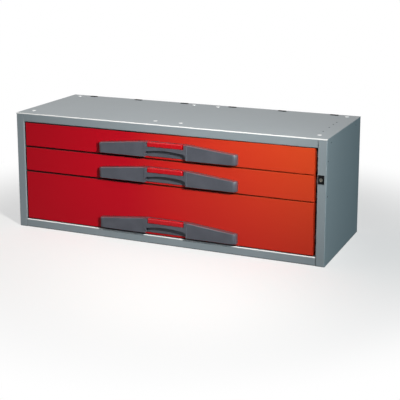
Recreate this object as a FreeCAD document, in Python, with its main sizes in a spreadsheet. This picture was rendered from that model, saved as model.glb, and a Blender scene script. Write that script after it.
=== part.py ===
import FreeCAD, Part
import math
import os
import Sketcher

# Modular drawer cabinet: a folded steel carcass with three drawers on ball bearing slides.
# Millimetres. X runs along the front to the right, Y from front to rear, Z up.
# The origin is at the centre of the underside.

doc = FreeCAD.newDocument("drawer_cabinet")
sizes = doc.addObject("Spreadsheet::Sheet", "sizes")

DRIVING_SIZES = [
    # carcass
    ("cabinet_length", 1000),
    ("cabinet_depth", 360),
    ("cabinet_height", 365),
    ("steel", 1.5),
    ("bend_radius", 3),
    ("seam_gap", 0.1),
    ("post_width", 27),
    ("front_post_return", 45),
    ("rear_post_return", 60),
    ("top_rail", 27),
    ("bottom_rail", 26),
    ("rail_return", 12),
    ("rear_flange", 20),
    ("side_flange", 16),
    ("lid_lip", 5),
    ("lip_notch_margin", 0.6),
    ("cutter_overrun", 1),
    # slots, nuts and holes in the carcass
    ("slot_length", 25),
    ("slot_width", 6),
    ("slot_pitch", 168),
    ("slot_edge_distance", 10),
    ("nut_post_distance", 9),
    ("nut_half_spacing", 41.5),
    ("nut_front_distance", 45),
    ("nut_rear_distance", 28),
    ("nut_flange_radius", 6.5),
    ("nut_flange_thickness", 0.8),
    ("nut_hexagon_radius", 4.8),
    ("nut_body_length", 12),
    ("nut_thread_radius", 2.5),
    ("foot_hole_radius", 3.5),
    ("side_hole_radius", 2.5),
    ("side_hole_drop", 16),
    ("side_hole_first", 38),
    ("side_hole_spacing", 265),
    ("post_hole_inset", 12.6),
    ("post_hole_drop", 64),
    ("post_hole_spacing", 100),
    # drawer fronts and trays
    ("front_gap", 2.8),
    ("front_margin", 1.8),
    ("front_left_gap", 3),
    ("front_right_gap", 9),
    ("front_recess", 3),
    ("front_thickness", 18),
    ("front_steel", 1.2),
    ("front_return", 10),
    ("front_edge_radius", 1.5),
    ("tray_steel", 1),
    ("tray_lift", 6),
    ("tray_drop", 15),
    ("tray_rear_gap", 7.4),
    ("tray_rim", 8),
    # ball bearing slides
    ("slide_thickness", 12.7),
    ("slide_drop", 43),
    ("slide_end_gap", 0.5),
    ("rail_steel", 1.2),
    ("outer_half", 22.5),
    ("outer_flange", 9.5),
    ("ball_race", 3.3),
    ("middle_tray_gap", 1.7),
    ("cage_steel", 0.5),
    ("cage_length", 120),
    ("cage_web_gap", 0.15),
    ("cage_tip_gap", 0.35),
    ("cage_flange", 6.3),
    ("rail_hook_margin", 8),
    ("rail_hook_length", 12),
    ("rail_hook_height", 6),
    ("rail_hook_drop", 4),
    ("fit_clearance", 0.05),
    # moulded handle
    ("handle_length", 446),
    ("handle_depth", 18),
    ("handle_lift", 7.5),
    ("handle_offset", 16),
    ("handle_end_height", 30),
    ("handle_centre_height", 45),
    ("handle_centre_length", 138),
    ("handle_end_radius", 14),
    ("handle_corner_radius", 5),
    ("handle_bevel", 1.2),
    ("window_bevel", 4.5),
    ("centre_proud", 1.2),
    ("handle_wall", 3),
    ("handle_back", 2.5),
    ("handle_rib", 2),
    ("grip_thickness", 5),
    ("grip_roof", 2),
    ("finger_space_inset", 4),
    ("recess_length", 132),
    ("recess_height", 22.5),
    ("recess_crown", 330),
    ("recess_corner", 9),
    ("clip_first", 105),
    ("clip_second", 192),
    ("clip_height", 13),
    ("clip_width", 8),
    ("clip_thickness", 3),
    ("clip_barb", 1.2),
    ("clip_barb_length", 2.5),
    ("clip_clearance", 0.2),
    # release bar and latch
    ("bar_length", 113),
    ("bar_height", 14),
    ("bar_bottom", 31.4),
    ("bar_depth", 12),
    ("bar_proud", 1),
    ("bar_clearance", 0.4),
    ("bar_edge_radius", 2),
    ("plunger_size", 3),
    ("plunger_spread", 40),
    ("plunger_clearance", 0.7),
    ("latch_gap", 0.3),
    ("latch_above_rail", 9.4),
    ("latch_axis_inset", 9),
    ("lever_width", 6),
    ("lever_thickness", 3),
    ("lever_tail", 2),
    ("shaft_radius", 3),
    ("shaft_clearance", 0.05),
    ("hook_thickness", 1.8),
    ("hook_clearance", 0.5),
    ("hook_half_height", 4.5),
    ("hook_reach", 27),
    ("hook_nose", 6.5),
    ("hook_relief", 3),
    ("hook_lift_gap", 0.4),
    ("striker_size", 5),
    ("striker_behind", 17),
    ("striker_drop", 5),
    ("bracket_position", 200),
    ("bracket_steel", 2),
    ("bracket_foot", 12),
    ("bracket_height", 14),
    ("bracket_rear_gap", 3),
    ("spring_length", 14),
    ("spring_wire", 1),
    ("spring_clearance", 0.15),
    # lock
    ("lock_drop", 114.6),
    ("lock_inset", 15.4),
    ("bezel_width", 17),
    ("bezel_height", 25),
    ("bezel_thickness", 2.5),
    ("bezel_bevel", 0.8),
    ("lock_barrel_radius", 7),
    ("lock_barrel_length", 13),
    ("lock_plug_radius", 5.6),
    ("lock_plug_proud", 0.8),
    ("key_slot_length", 7),
    ("key_slot_width", 1.2),
    ("key_slot_depth", 2),
    ("lock_nut_radius", 9),
    ("lock_nut_thickness", 3),
    ("cam_throw", 8),
    ("cam_half_width", 3),
    ("cam_thickness", 2),
    ("cam_pin_radius", 1.5),
    ("cam_pin_proud", 1),
    ("cam_slot_clearance", 0.4),
    ("lock_bar_steel", 2),
    ("lock_bar_depth", 17.5),
    ("lock_bar_left", 2.5),
    ("lock_bar_width", 21),
    ("lock_bar_end", 10),
    ("lock_finger_reach", 6.8),
    ("lock_finger_height", 5),
    ("lock_finger_above_rail", 1.5),
    ("finger_slot_clearance", 0.5),
    ("guide_height", 10),
    ("guide_width", 4.5),
    ("guide_wall", 3.3),
    ("guide_inset", 40),
]

for row, (alias, value) in enumerate(DRIVING_SIZES, start=1):
    sizes.set(f"A{row}", alias.replace("_", " "))
    sizes.set(f"B{row}", str(value))
    sizes.setAlias(f"B{row}", alias)
doc.recompute()

LID_SLOTS = 6
WING_CELLS = 3

# Places that several pieces share, as expressions over the sheet
half_length = "(sizes.cabinet_length / 2)"
half_depth = "(sizes.cabinet_depth / 2)"
lid_underside = "(sizes.cabinet_height - sizes.steel)"
slide_plane = f"({half_length} - sizes.post_width)"
tray_side = f"({slide_plane} - sizes.slide_thickness)"
front_face = f"(sizes.front_recess - {half_depth})"
front_back = f"({front_face} + sizes.front_thickness)"
front_left = f"(sizes.front_left_gap - {slide_plane})"
front_right = f"({slide_plane} - sizes.front_right_gap)"
front_unit = (
    "((sizes.cabinet_height - sizes.top_rail - sizes.bottom_rail"
    " - 2 * sizes.front_margin - 3 * sizes.front_gap) / 4)"
)
double_unit = f"(2 * {front_unit} + sizes.front_gap)"
rear_outside = f"({half_depth} - sizes.steel - sizes.seam_gap)"
tray_rear = f"({rear_outside} - sizes.rear_flange - sizes.tray_rear_gap)"
slide_front = f"({front_back} + sizes.slide_end_gap)"
slide_rear = f"({tray_rear} + sizes.slide_end_gap)"
slide_length = f"({slide_rear} - {slide_front})"
slide_height = f"({front_unit} - sizes.slide_drop)"
rail_top = f"({slide_height} + sizes.outer_half)"
latch_axis_y = f"({front_back} - sizes.latch_axis_inset)"
latch_axis_z = f"({rail_top} + sizes.latch_above_rail)"
bar_middle = "(sizes.handle_lift + sizes.bar_bottom + sizes.bar_height / 2)"
lever_arm = f"({latch_axis_z} - {bar_middle})"
striker_y = f"({latch_axis_y} + sizes.striker_behind)"
hook_start = f"({tray_side} + sizes.hook_clearance)"
lock_x = f"({half_length} - sizes.lock_inset)"
lock_z = "(sizes.cabinet_height - sizes.lock_drop)"
lock_travel = "(2 * sizes.cam_throw * cos(45deg))"
lock_bar_front = f"(sizes.lock_bar_depth - {half_depth})"
lock_bar_x = f"({slide_plane} + sizes.lock_bar_left)"

# Drawers from the top down: name, height of the front, and height of its lower edge above the underside
bottom_of_3 = "(sizes.bottom_rail + sizes.front_margin)"
bottom_of_2 = f"({bottom_of_3} + {double_unit} + sizes.front_gap)"
bottom_of_1 = f"({bottom_of_2} + {front_unit} + sizes.front_gap)"
DRAWERS = [
    ("1", front_unit, bottom_of_1),
    ("2", front_unit, bottom_of_2),
    ("3", double_unit, bottom_of_3),
]


def value_of(expression):
    """Number that an expression over the sheet gives."""
    return float(sizes.evalExpression(expression))


def place(thing, x="0", y="0", z="0"):
    """Binds a piece's place to the sheet."""
    for axis, expression in zip("xyz", (x, y, z)):
        thing.setExpression(f"Placement.Base.{axis}", expression)
    return thing


def block(name, corner, size):
    """Rectangular block from its lowest corner and its three lengths."""
    thing = doc.addObject("Part::Box", name)
    for side, expression in zip(("Length", "Width", "Height"), size):
        thing.setExpression(side, expression)
    return place(thing, *corner)


# Points closer together than this are the same point
NEAR = 0.01

ROD_TURNS = {
    "x": FreeCAD.Rotation(FreeCAD.Vector(0, 1, 0), 90),
    "y": FreeCAD.Rotation(FreeCAD.Vector(1, 0, 0), -90),
    "z": FreeCAD.Rotation(),
}


def rod(name, axis, start, radius, length):
    """Round rod that runs from its start along +X, +Y or +Z."""
    thing = doc.addObject("Part::Cylinder", name)
    thing.setExpression("Radius", radius)
    thing.setExpression("Height", length)
    thing.Placement = FreeCAD.Placement(FreeCAD.Vector(), ROD_TURNS[axis])
    return place(thing, *start)


def hexagon(name, axis, start, radius, length):
    """Six-sided rod, with its radius to the corners."""
    thing = doc.addObject("Part::Prism", name)
    thing.Polygon = 6
    thing.setExpression("Circumradius", radius)
    thing.setExpression("Height", length)
    thing.Placement = FreeCAD.Placement(FreeCAD.Vector(), ROD_TURNS[axis])
    return place(thing, *start)


def through(make, name, axis, start, radius, length):
    """Round or six-sided cutter that runs past both faces of what it cuts."""
    start = list(start)
    start["xyz".index(axis)] += " - sizes.cutter_overrun"
    return make(name, axis, start, radius, f"{length} + 2 * sizes.cutter_overrun")


def through_block(name, axis, corner, size):
    """Rectangular cutter that runs past both faces of what it cuts."""
    index = "xyz".index(axis)
    corner, size = list(corner), list(size)
    corner[index] += " - sizes.cutter_overrun"
    size[index] += " + 2 * sizes.cutter_overrun"
    return block(name, corner, size)


def joined(name, pieces):
    """One solid from pieces that touch."""
    thing = doc.addObject("Part::MultiFuse", name)
    thing.Shapes = pieces
    thing.Refine = True
    return thing


def group(name, pieces):
    """Several separate solids in one node."""
    thing = doc.addObject("Part::Compound", name)
    thing.Links = pieces
    return thing


def without(name, base, cutters):
    """A piece with holes or notches taken out."""
    thing = doc.addObject("Part::Cut", name)
    thing.Base = base
    thing.Tool = cutters[0] if len(cutters) == 1 else group(f"{name}_cutters", cutters)
    thing.Refine = True
    return thing


def mirrored(name, source):
    """The same piece on the other side of the middle plane."""
    thing = doc.addObject("Part::Mirroring", name)
    thing.Source = source
    thing.Normal = (1, 0, 0)
    return thing


def origin_plane(body, role):
    """One of a body's own origin planes."""
    for feature in body.Origin.OriginFeatures:
        if feature.Role == role:
            return feature


def arc_between(start, end, radius):
    """Arc from start to end; a positive radius bulges to the right of the way it is walked."""
    chord = end - start
    height = math.sqrt(max(radius * radius - (chord.Length / 2) ** 2, 0))
    side = FreeCAD.Vector(-chord.y, chord.x, 0).normalize()
    centre = (start + end) / 2 + side * math.copysign(height, radius)
    circle = Part.Circle(centre, FreeCAD.Vector(0, 0, 1), abs(radius))
    first, last = (start, end) if radius > 0 else (end, start)
    return Part.ArcOfCircle(circle, circle.parameter(first), circle.parameter(last))


def outline(body, name, role, loops, offset="0"):
    """Sketch of closed loops. A corner is two expressions, and a third makes an arc to the next corner."""
    sketch = body.newObject("Sketcher::SketchObject", name)
    sketch.AttachmentSupport = [(origin_plane(body, role), "")]
    sketch.MapMode = "FlatFace"
    sketch.setExpression("AttachmentOffset.Base.z", offset)
    for corners in loops:
        first = sketch.GeometryCount
        count = len(corners)
        points = [FreeCAD.Vector(value_of(c[0]), value_of(c[1]), 0) for c in corners]
        radii = [value_of(c[2]) if len(c) > 2 else 0 for c in corners]
        for i, radius in enumerate(radii):
            start, end = points[i], points[(i + 1) % count]
            if radius:
                sketch.addGeometry(arc_between(start, end, radius))
            else:
                sketch.addGeometry(Part.LineSegment(start, end))
        for i, corner in enumerate(corners):
            here, following = first + i, first + (i + 1) % count
            leaves = 1 if radii[i] >= 0 else 2
            arrives = 3 - leaves
            next_leaves = 1 if radii[(i + 1) % count] >= 0 else 2
            sketch.addConstraint(Sketcher.Constraint("Coincident", here, arrives, following, next_leaves))
            for kind, coordinate, expression in (
                ("DistanceX", points[i].x, corner[0]),
                ("DistanceY", points[i].y, corner[1]),
            ):
                number = sketch.addConstraint(Sketcher.Constraint(kind, -1, 1, here, leaves, coordinate))
                sketch.setExpression(f"Constraints[{number}]", expression)
            if radii[i]:
                number = sketch.addConstraint(Sketcher.Constraint("Radius", here, abs(radii[i])))
                sketch.setExpression(f"Constraints[{number}]", f"abs({corner[2]})")
    return sketch


def new_body(name):
    """Empty body for a piece that is made from sketches."""
    return doc.addObject("PartDesign::Body", name)


def pad(body, name, role, loops, length, offset="0", taper="0"):
    """Adds material along the plane's normal."""
    feature = body.newObject("PartDesign::Pad", name)
    feature.Profile = outline(body, f"{name}_sketch", role, loops, offset)
    feature.setExpression("Length", length)
    feature.setExpression("TaperAngle", taper)
    return feature


def pocket(body, name, role, loops, depth, offset="0", along_normal=False):
    """Takes material away, against the plane's normal or along it."""
    feature = body.newObject("PartDesign::Pocket", name)
    feature.Profile = outline(body, f"{name}_sketch", role, loops, offset)
    feature.Reversed = along_normal
    feature.setExpression("Length", depth)
    return feature


def dress_edges(body, kind, name, size, amount, chosen):
    """Rounds or bevels the edges of the body so far for which chosen(edge) is true."""
    doc.recompute()
    base = body.Tip
    edges = [f"Edge{i}" for i, edge in enumerate(base.Shape.Edges, start=1) if chosen(edge)]
    feature = body.newObject(f"PartDesign::{kind}", name)
    feature.Base = (base, edges)
    feature.setExpression(size, amount)
    return feature


def round_edges(body, name, radius, chosen):
    return dress_edges(body, "Fillet", name, "Radius", radius, chosen)


def bevel_edges(body, name, width, chosen):
    return dress_edges(body, "Chamfer", name, "Size", width, chosen)


def box_loop(x0, x1, y0, y1):
    """Four corners of a rectangle."""
    return [(x0, y0), (x1, y0), (x1, y1), (x0, y1)]


def runs_through(edge, axis, first, second):
    """True for a straight edge along an axis that passes through two given coordinates."""
    wanted = {"x": ("y", "z"), "y": ("x", "z"), "z": ("x", "y")}[axis]
    if len(edge.Vertexes) != 2:
        return False
    start, end = edge.Vertexes[0].Point, edge.Vertexes[1].Point
    for point in (start, end):
        if abs(getattr(point, wanted[0]) - first) > NEAR or abs(getattr(point, wanted[1]) - second) > NEAR:
            return False
    return abs(getattr(start, axis) - getattr(end, axis)) > NEAR


def bend(body, name, axis, places, radius):
    """Rounds the bend lines that run along an axis through the given places."""
    values = [(value_of(a), value_of(b)) for a, b in places]
    return round_edges(
        body, name, radius, lambda edge: any(runs_through(edge, axis, a, b) for a, b in values)
    )


inner_bend = "(sizes.bend_radius - sizes.steel)"


def nut_rows():
    """Distance from front to rear of both rows of nuts, and the place of the outer ones."""
    front = f"(sizes.nut_front_distance - {half_depth})"
    rear = f"({half_depth} - sizes.nut_rear_distance)"
    return (front, rear), f"({slide_plane} - sizes.nut_post_distance)"


def nut_places():
    """Centres of the eight nuts in the lid."""
    rows, end = nut_rows()
    return [
        (x, y) for y in rows
        for x in (f"-{end}", "-sizes.nut_half_spacing", "sizes.nut_half_spacing", end)
    ]


def rail_hook_places():
    """Front and rear hooks of a slide, one in each post."""
    front = f"(sizes.front_post_return - sizes.rail_hook_margin - {half_depth})"
    rear = f"({half_depth} - sizes.rear_post_return + sizes.rail_hook_margin)"
    return (("front", front), ("rear", rear))


# Side panels: one sheet folded into a closed front post and a rear post
def side_panel_sheet(name):
    body = new_body(name)
    outside, inside = half_length, f"({half_length} - sizes.steel)"
    post, post_in = slide_plane, f"({slide_plane} + sizes.steel)"
    front, front_in = f"-{half_depth}", f"(sizes.steel - {half_depth})"
    rear, rear_in = half_depth, f"({half_depth} - sizes.steel)"
    front_end = f"(sizes.front_post_return - {half_depth})"
    rear_end = f"({half_depth} - sizes.rear_post_return)"
    corners = [
        (outside, front), (outside, rear), (post, rear), (post, rear_end), (post_in, rear_end),
        (post_in, rear_in), (inside, rear_in), (inside, front_in), (post_in, front_in),
        (post_in, front_end), (post, front_end), (post, front),
    ]
    pad(body, f"{name}_fold", "XY_Plane", [corners], lid_underside)
    outer = [(outside, front), (outside, rear), (post, rear), (post, front)]
    bend(body, f"{name}_outer_bends", "z", outer, "sizes.bend_radius")
    inner = [(inside, front_in), (inside, rear_in), (post_in, rear_in), (post_in, front_in)]
    bend(body, f"{name}_inner_bends", "z", inner, inner_bend)
    return body


def side_panel_cutters(name):
    """Notches for the lid's lip and the floor, and the holes and slots that both panels share."""
    cutters = [
        block(
            f"{name}_lip_notch",
            (
                f"{slide_plane} - sizes.cutter_overrun",
                f"-{half_depth} - sizes.cutter_overrun",
                "sizes.cabinet_height - sizes.lid_lip - sizes.seam_gap",
            ),
            (
                "sizes.post_width + 2 * sizes.cutter_overrun",
                "sizes.bend_radius + sizes.lip_notch_margin + sizes.cutter_overrun",
                "sizes.lid_lip + sizes.cutter_overrun",
            ),
        ),
        block(
            f"{name}_floor_notch",
            (
                f"{slide_plane} - sizes.cutter_overrun",
                f"sizes.steel - {half_depth}",
                "-sizes.cutter_overrun",
            ),
            (
                "sizes.steel + sizes.bend_radius + sizes.cutter_overrun",
                "sizes.cabinet_depth - 2 * sizes.steel",
                "sizes.cutter_overrun + sizes.steel + sizes.seam_gap",
            ),
        ),
    ]
    drop = "sizes.cabinet_height - sizes.side_hole_drop"
    start = f"{half_length} - sizes.steel"
    for i in range(2):
        along = f"sizes.side_hole_first + {i} * sizes.side_hole_spacing - {half_depth}"
        height = f"sizes.cabinet_height - sizes.post_hole_drop - {i} * sizes.post_hole_spacing"
        inset = f"sizes.post_hole_inset - {half_depth}"
        for hole, centre in (("top_hole", (start, along, drop)), ("post_hole", (start, inset, height))):
            cutters.append(through(
                rod, f"{name}_{hole}_{i}", "x", centre, "sizes.side_hole_radius", "sizes.steel",
            ))
    for drawer, _, bottom in DRAWERS:
        for end, along in rail_hook_places():
            cutters.append(through_block(
                f"{name}_hook_slot_{drawer}_{end}", "x",
                (
                    slide_plane,
                    f"{along} - sizes.rail_hook_length / 2 - sizes.fit_clearance",
                    f"{bottom} + {slide_height} - sizes.fit_clearance",
                ),
                (
                    "sizes.steel",
                    "sizes.rail_hook_length + 2 * sizes.fit_clearance",
                    "sizes.rail_hook_height + sizes.rail_hook_drop + 2 * sizes.fit_clearance",
                ),
            ))
    return cutters


left_sheet = mirrored("side_panel_left_sheet", side_panel_sheet("side_sheet_for_left"))
left_cutters = [
    mirrored(f"{cutter.Name}_left", cutter) for cutter in side_panel_cutters("side_left")
]
without("side_panel_left", left_sheet, left_cutters)

lock_hole = through(
    rod, "lock_hole", "y", (lock_x, f"-{half_depth}", lock_z),
    "sizes.lock_barrel_radius + sizes.fit_clearance", "sizes.steel",
)
finger_places = [
    f"({bottom} + {rail_top} + sizes.lock_finger_above_rail)" for drawer, _, bottom in DRAWERS
]
finger_slots = []
for i, height in enumerate(finger_places):
    low = f"{height} - sizes.lock_finger_height / 2 - {lock_travel} - sizes.finger_slot_clearance"
    finger_slots.append(through_block(
        f"finger_slot_{i}", "x",
        (slide_plane, f"{lock_bar_front} - sizes.finger_slot_clearance", low),
        (
            "sizes.steel",
            "sizes.lock_bar_steel + 2 * sizes.finger_slot_clearance",
            f"sizes.lock_finger_height + {lock_travel} + 2 * sizes.finger_slot_clearance",
        ),
    ))
without(
    "side_panel_right", side_panel_sheet("side_sheet_for_right"),
    side_panel_cutters("side_right") + [lock_hole] + finger_slots,
)

# Top panel: the lid with a lip over the posts, the top rail between them and folded edges inside
between_posts = f"({slide_plane} - sizes.seam_gap)"
inside_walls = f"({half_length} - sizes.steel - sizes.seam_gap)"

lid = new_body("lid_sheet")
pad(
    lid, "lid_plate", "YZ_Plane",
    [[
        (f"-{half_depth}", "sizes.cabinet_height - sizes.lid_lip"),
        (f"sizes.steel - {half_depth}", "sizes.cabinet_height - sizes.lid_lip"),
        (f"sizes.steel - {half_depth}", lid_underside),
        (half_depth, lid_underside),
        (half_depth, "sizes.cabinet_height"),
        (f"-{half_depth}", "sizes.cabinet_height"),
    ]],
    "sizes.cabinet_length", f"-{half_length}",
)
pad(
    lid, "lid_rails", "YZ_Plane",
    [[
        (f"-{half_depth}", "sizes.cabinet_height - sizes.top_rail"),
        (f"sizes.rail_return - {half_depth}", "sizes.cabinet_height - sizes.top_rail"),
        (f"sizes.rail_return - {half_depth}", "sizes.cabinet_height - sizes.top_rail + sizes.steel"),
        (f"sizes.steel - {half_depth}", "sizes.cabinet_height - sizes.top_rail + sizes.steel"),
        (f"sizes.steel - {half_depth}", lid_underside),
        (f"{half_depth} - sizes.steel", lid_underside),
        (f"{half_depth} - sizes.steel", "sizes.cabinet_height - sizes.rear_flange"),
        (half_depth, "sizes.cabinet_height - sizes.rear_flange"),
        (half_depth, "sizes.cabinet_height"),
        (f"-{half_depth}", "sizes.cabinet_height"),
    ]],
    f"2 * {between_posts}", f"-{between_posts}",
)
bend(
    lid, "lid_front_bend", "x", [(f"-{half_depth}", "sizes.cabinet_height")], "sizes.bend_radius",
)
bend(
    lid, "lid_rail_bend", "x", [(f"-{half_depth}", "sizes.cabinet_height - sizes.top_rail")],
    "sizes.bend_radius",
)


def side_folds(name, low):
    """Folded edges along the inside of both side walls, between the posts."""
    return [
        block(
            f"{name}_{side}", (x, f"sizes.front_post_return - {half_depth}", low),
            (
                "sizes.steel",
                "sizes.cabinet_depth - sizes.front_post_return - sizes.rear_post_return",
                "sizes.side_flange",
            ),
        )
        for side, x in (("left", f"-{inside_walls}"), ("right", f"{inside_walls} - sizes.steel"))
    ]


lid_cutters = [
    through_block(
        f"lid_slot_{i}", "z",
        (
            f"({i} - {LID_SLOTS - 1} / 2) * sizes.slot_pitch - sizes.slot_length / 2",
            f"{half_depth} - sizes.slot_edge_distance - sizes.slot_width / 2",
            lid_underside,
        ),
        ("sizes.slot_length", "sizes.slot_width", "sizes.steel"),
    )
    for i in range(LID_SLOTS)
]
lid_cutters += [
    through(
        hexagon, f"lid_nut_hole_{i}", "z", (x, y, lid_underside),
        "sizes.nut_hexagon_radius + sizes.fit_clearance", "sizes.steel",
    )
    for i, (x, y) in enumerate(nut_places())
]
lid_folded = joined(
    "lid_folded", [lid] + side_folds("lid_fold", f"{lid_underside} - sizes.side_flange"),
)
without("top_panel", lid_folded, lid_cutters)

# Bottom panel: the floor between the side panels, with the bottom rail and the rear fold between the
# posts
floor = new_body("floor_sheet")
pad(
    floor, "floor_plate", "XY_Plane",
    [box_loop(f"-{inside_walls}", inside_walls, f"-{rear_outside}", rear_outside)], "sizes.steel",
)
pad(
    floor, "floor_rails", "YZ_Plane",
    [[
        (f"-{half_depth}", "0"),
        (half_depth, "0"),
        (half_depth, "sizes.rear_flange"),
        (f"{half_depth} - sizes.steel", "sizes.rear_flange"),
        (f"{half_depth} - sizes.steel", "sizes.steel"),
        (f"sizes.steel - {half_depth}", "sizes.steel"),
        (f"sizes.steel - {half_depth}", "sizes.bottom_rail - sizes.steel"),
        (f"sizes.rail_return - {half_depth}", "sizes.bottom_rail - sizes.steel"),
        (f"sizes.rail_return - {half_depth}", "sizes.bottom_rail"),
        (f"-{half_depth}", "sizes.bottom_rail"),
    ]],
    f"2 * {between_posts}", f"-{between_posts}",
)
bend(
    floor, "floor_rail_bends", "x",
    [(f"-{half_depth}", "0"), (f"-{half_depth}", "sizes.bottom_rail"), (half_depth, "0")],
    "sizes.bend_radius",
)
bend(
    floor, "floor_corners", "z",
    [(x, y) for x in (f"-{inside_walls}", inside_walls) for y in (f"-{rear_outside}", rear_outside)],
    inner_bend,
)
nut_row_places, corner_nut_x = nut_rows()
foot_holes = [
    through(rod, f"foot_hole_{i}_{side}", "z", (x, y, "0"), "sizes.foot_hole_radius", "sizes.steel")
    for i, y in enumerate(nut_row_places)
    for side, x in (("left", f"-{corner_nut_x}"), ("right", corner_nut_x))
]
floor_folded = joined("floor_folded", [floor] + side_folds("floor_fold", "sizes.steel"))
without("bottom_panel", floor_folded, foot_holes)

# Rear panel: a shallow tray of sheet inside the rear folds of lid and floor, spot welded to them
rear_low = "(sizes.steel + sizes.seam_gap)"
rear_high = f"({lid_underside} - sizes.seam_gap)"
rear_sheet = new_body("rear_panel")
pad(
    rear_sheet, "rear_fold", "XY_Plane",
    [[
        (f"-{between_posts}", f"{rear_outside} - sizes.rear_flange"),
        (f"sizes.steel - {between_posts}", f"{rear_outside} - sizes.rear_flange"),
        (f"sizes.steel - {between_posts}", f"{rear_outside} - sizes.steel"),
        (f"{between_posts} - sizes.steel", f"{rear_outside} - sizes.steel"),
        (f"{between_posts} - sizes.steel", f"{rear_outside} - sizes.rear_flange"),
        (between_posts, f"{rear_outside} - sizes.rear_flange"),
        (between_posts, rear_outside),
        (f"-{between_posts}", rear_outside),
    ]],
    f"{rear_high} - {rear_low}", rear_low,
)
bend(
    rear_sheet, "rear_bends", "z",
    [(f"-{between_posts}", rear_outside), (between_posts, rear_outside)], "sizes.bend_radius",
)

# Rivet nuts: zinc plated, round flanges on the lid and six-sided bodies that can't turn in their holes
rivet_nuts = []
for i, (x, y) in enumerate(nut_places()):
    flange = rod(
        f"nut_flange_{i}", "z", (x, y, "sizes.cabinet_height"),
        "sizes.nut_flange_radius", "sizes.nut_flange_thickness",
    )
    barrel = hexagon(
        f"nut_barrel_{i}", "z", (x, y, "sizes.cabinet_height - sizes.nut_body_length"),
        "sizes.nut_hexagon_radius", "sizes.nut_body_length",
    )
    bore = through(
        rod, f"nut_bore_{i}", "z", (x, y, "sizes.cabinet_height - sizes.nut_body_length"),
        "sizes.nut_thread_radius", "sizes.nut_body_length + sizes.nut_flange_thickness",
    )
    rivet_nuts.append(without(f"rivet_nut_{i}", joined(f"nut_blank_{i}", [flange, barrel]), [bore]))
group("rivet_nuts", rivet_nuts)


# Ball bearing slides: outer rail hooked into the posts, middle rail, inner rail welded to the tray,
# and a cage strip for the balls of each stage
outer_cage_web = "(sizes.rail_steel + sizes.cage_web_gap)"
middle_first = f"({outer_cage_web} + sizes.cage_steel + sizes.cage_web_gap)"
middle_last = "(sizes.slide_thickness - sizes.middle_tray_gap)"
middle_half = "(sizes.outer_half - sizes.rail_steel - sizes.ball_race)"
inner_cage_web = f"({middle_first} + sizes.rail_steel + sizes.cage_web_gap)"
inner_first = f"({inner_cage_web} + sizes.cage_steel + sizes.cage_tip_gap)"
inner_half = f"({middle_half} - sizes.rail_steel - sizes.ball_race)"


def slide_channel(name, open_inwards, first, last, half_height, steel, start, length):
    """Channel rail between two distances from the slide's plane, open towards the drawer or away from it."""
    body = new_body(name)
    near, far = f"({slide_plane} - {first})", f"({slide_plane} - {last})"
    web, tips = (near, far) if open_inwards else (far, near)
    web_inside = f"({web} - {steel})" if open_inwards else f"({web} + {steel})"
    corners = [
        (web, f"-{half_height}"), (tips, f"-{half_height}"), (tips, f"{steel} - {half_height}"),
        (web_inside, f"{steel} - {half_height}"), (web_inside, f"{half_height} - {steel}"),
        (tips, f"{half_height} - {steel}"), (tips, half_height), (web, half_height),
    ]
    pad(body, f"{name}_fold", "XZ_Plane", [corners], length, f"-({start} + {length})")
    return body


def full_rail(name, open_inwards, first, last, half_height):
    """Rail of the slide's full length."""
    return slide_channel(
        name, open_inwards, first, last, half_height, "sizes.rail_steel", slide_front, slide_length,
    )


def outer_rail(name):
    """Outer rail with two hooks that drop behind the posts' steel."""
    channel = full_rail(f"{name}_channel", True, "0", "sizes.outer_flange", "sizes.outer_half")
    pieces = [channel]
    for end, along in rail_hook_places():
        start = f"{along} - sizes.rail_hook_length / 2"
        neck = block(
            f"{name}_neck_{end}", (f"{slide_plane} - sizes.rail_steel", start, "0"),
            (
                "2 * sizes.rail_steel + sizes.steel + sizes.fit_clearance",
                "sizes.rail_hook_length",
                "sizes.rail_hook_height",
            ),
        )
        hook_tip = block(
            f"{name}_hook_{end}",
            (f"{slide_plane} + sizes.steel + sizes.fit_clearance", start, "-sizes.rail_hook_drop"),
            ("sizes.rail_steel", "sizes.rail_hook_length", "sizes.rail_hook_height + sizes.rail_hook_drop"),
        )
        pieces += [neck, hook_tip]
    return joined(name, pieces)


def ball_cage(name, web_place, race_inside):
    """Cage strip whose folded edges run midway between the races of two rails."""
    half_height = f"({race_inside} + sizes.ball_race / 2 + sizes.cage_steel / 2)"
    start = f"({slide_front} + ({slide_length} - sizes.cage_length) / 2)"
    return slide_channel(
        name, True, web_place, f"({web_place} + sizes.cage_flange)", half_height,
        "sizes.cage_steel", start, "sizes.cage_length",
    )


def both_sides(name, make, height):
    """A right hand piece and its mirror image on the left, each a node of its own."""
    place(make(f"{name[0]}_right_{name[1]}"), z=height)
    source = make(f"{name[0]}_{name[1]}_to_mirror")
    place(mirrored(f"{name[0]}_left_{name[1]}", source), z=height)


def mirrored_pair(name, right, height):
    """The right hand piece and its mirror image in one node, both lifted to the drawer's height."""
    return place(group(name, [right, mirrored(f"{name}_left", right)]), z=height)


for drawer, _, bottom in DRAWERS:
    rail_height = f"{bottom} + {slide_height}"
    both_sides(("outer_rail", drawer), outer_rail, rail_height)
    both_sides(
        ("middle_rail", drawer), lambda name: full_rail(name, True, middle_first, middle_last, middle_half),
        rail_height,
    )
    both_sides(
        ("inner_rail", drawer),
        lambda name: full_rail(name, False, inner_first, "sizes.slide_thickness", inner_half),
        rail_height,
    )
    mirrored_pair(
        f"outer_ball_cages_{drawer}", ball_cage(f"outer_cage_right_{drawer}", outer_cage_web, middle_half),
        rail_height,
    )
    mirrored_pair(
        f"inner_ball_cages_{drawer}", ball_cage(f"inner_cage_right_{drawer}", inner_cage_web, inner_half),
        rail_height,
    )

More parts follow.
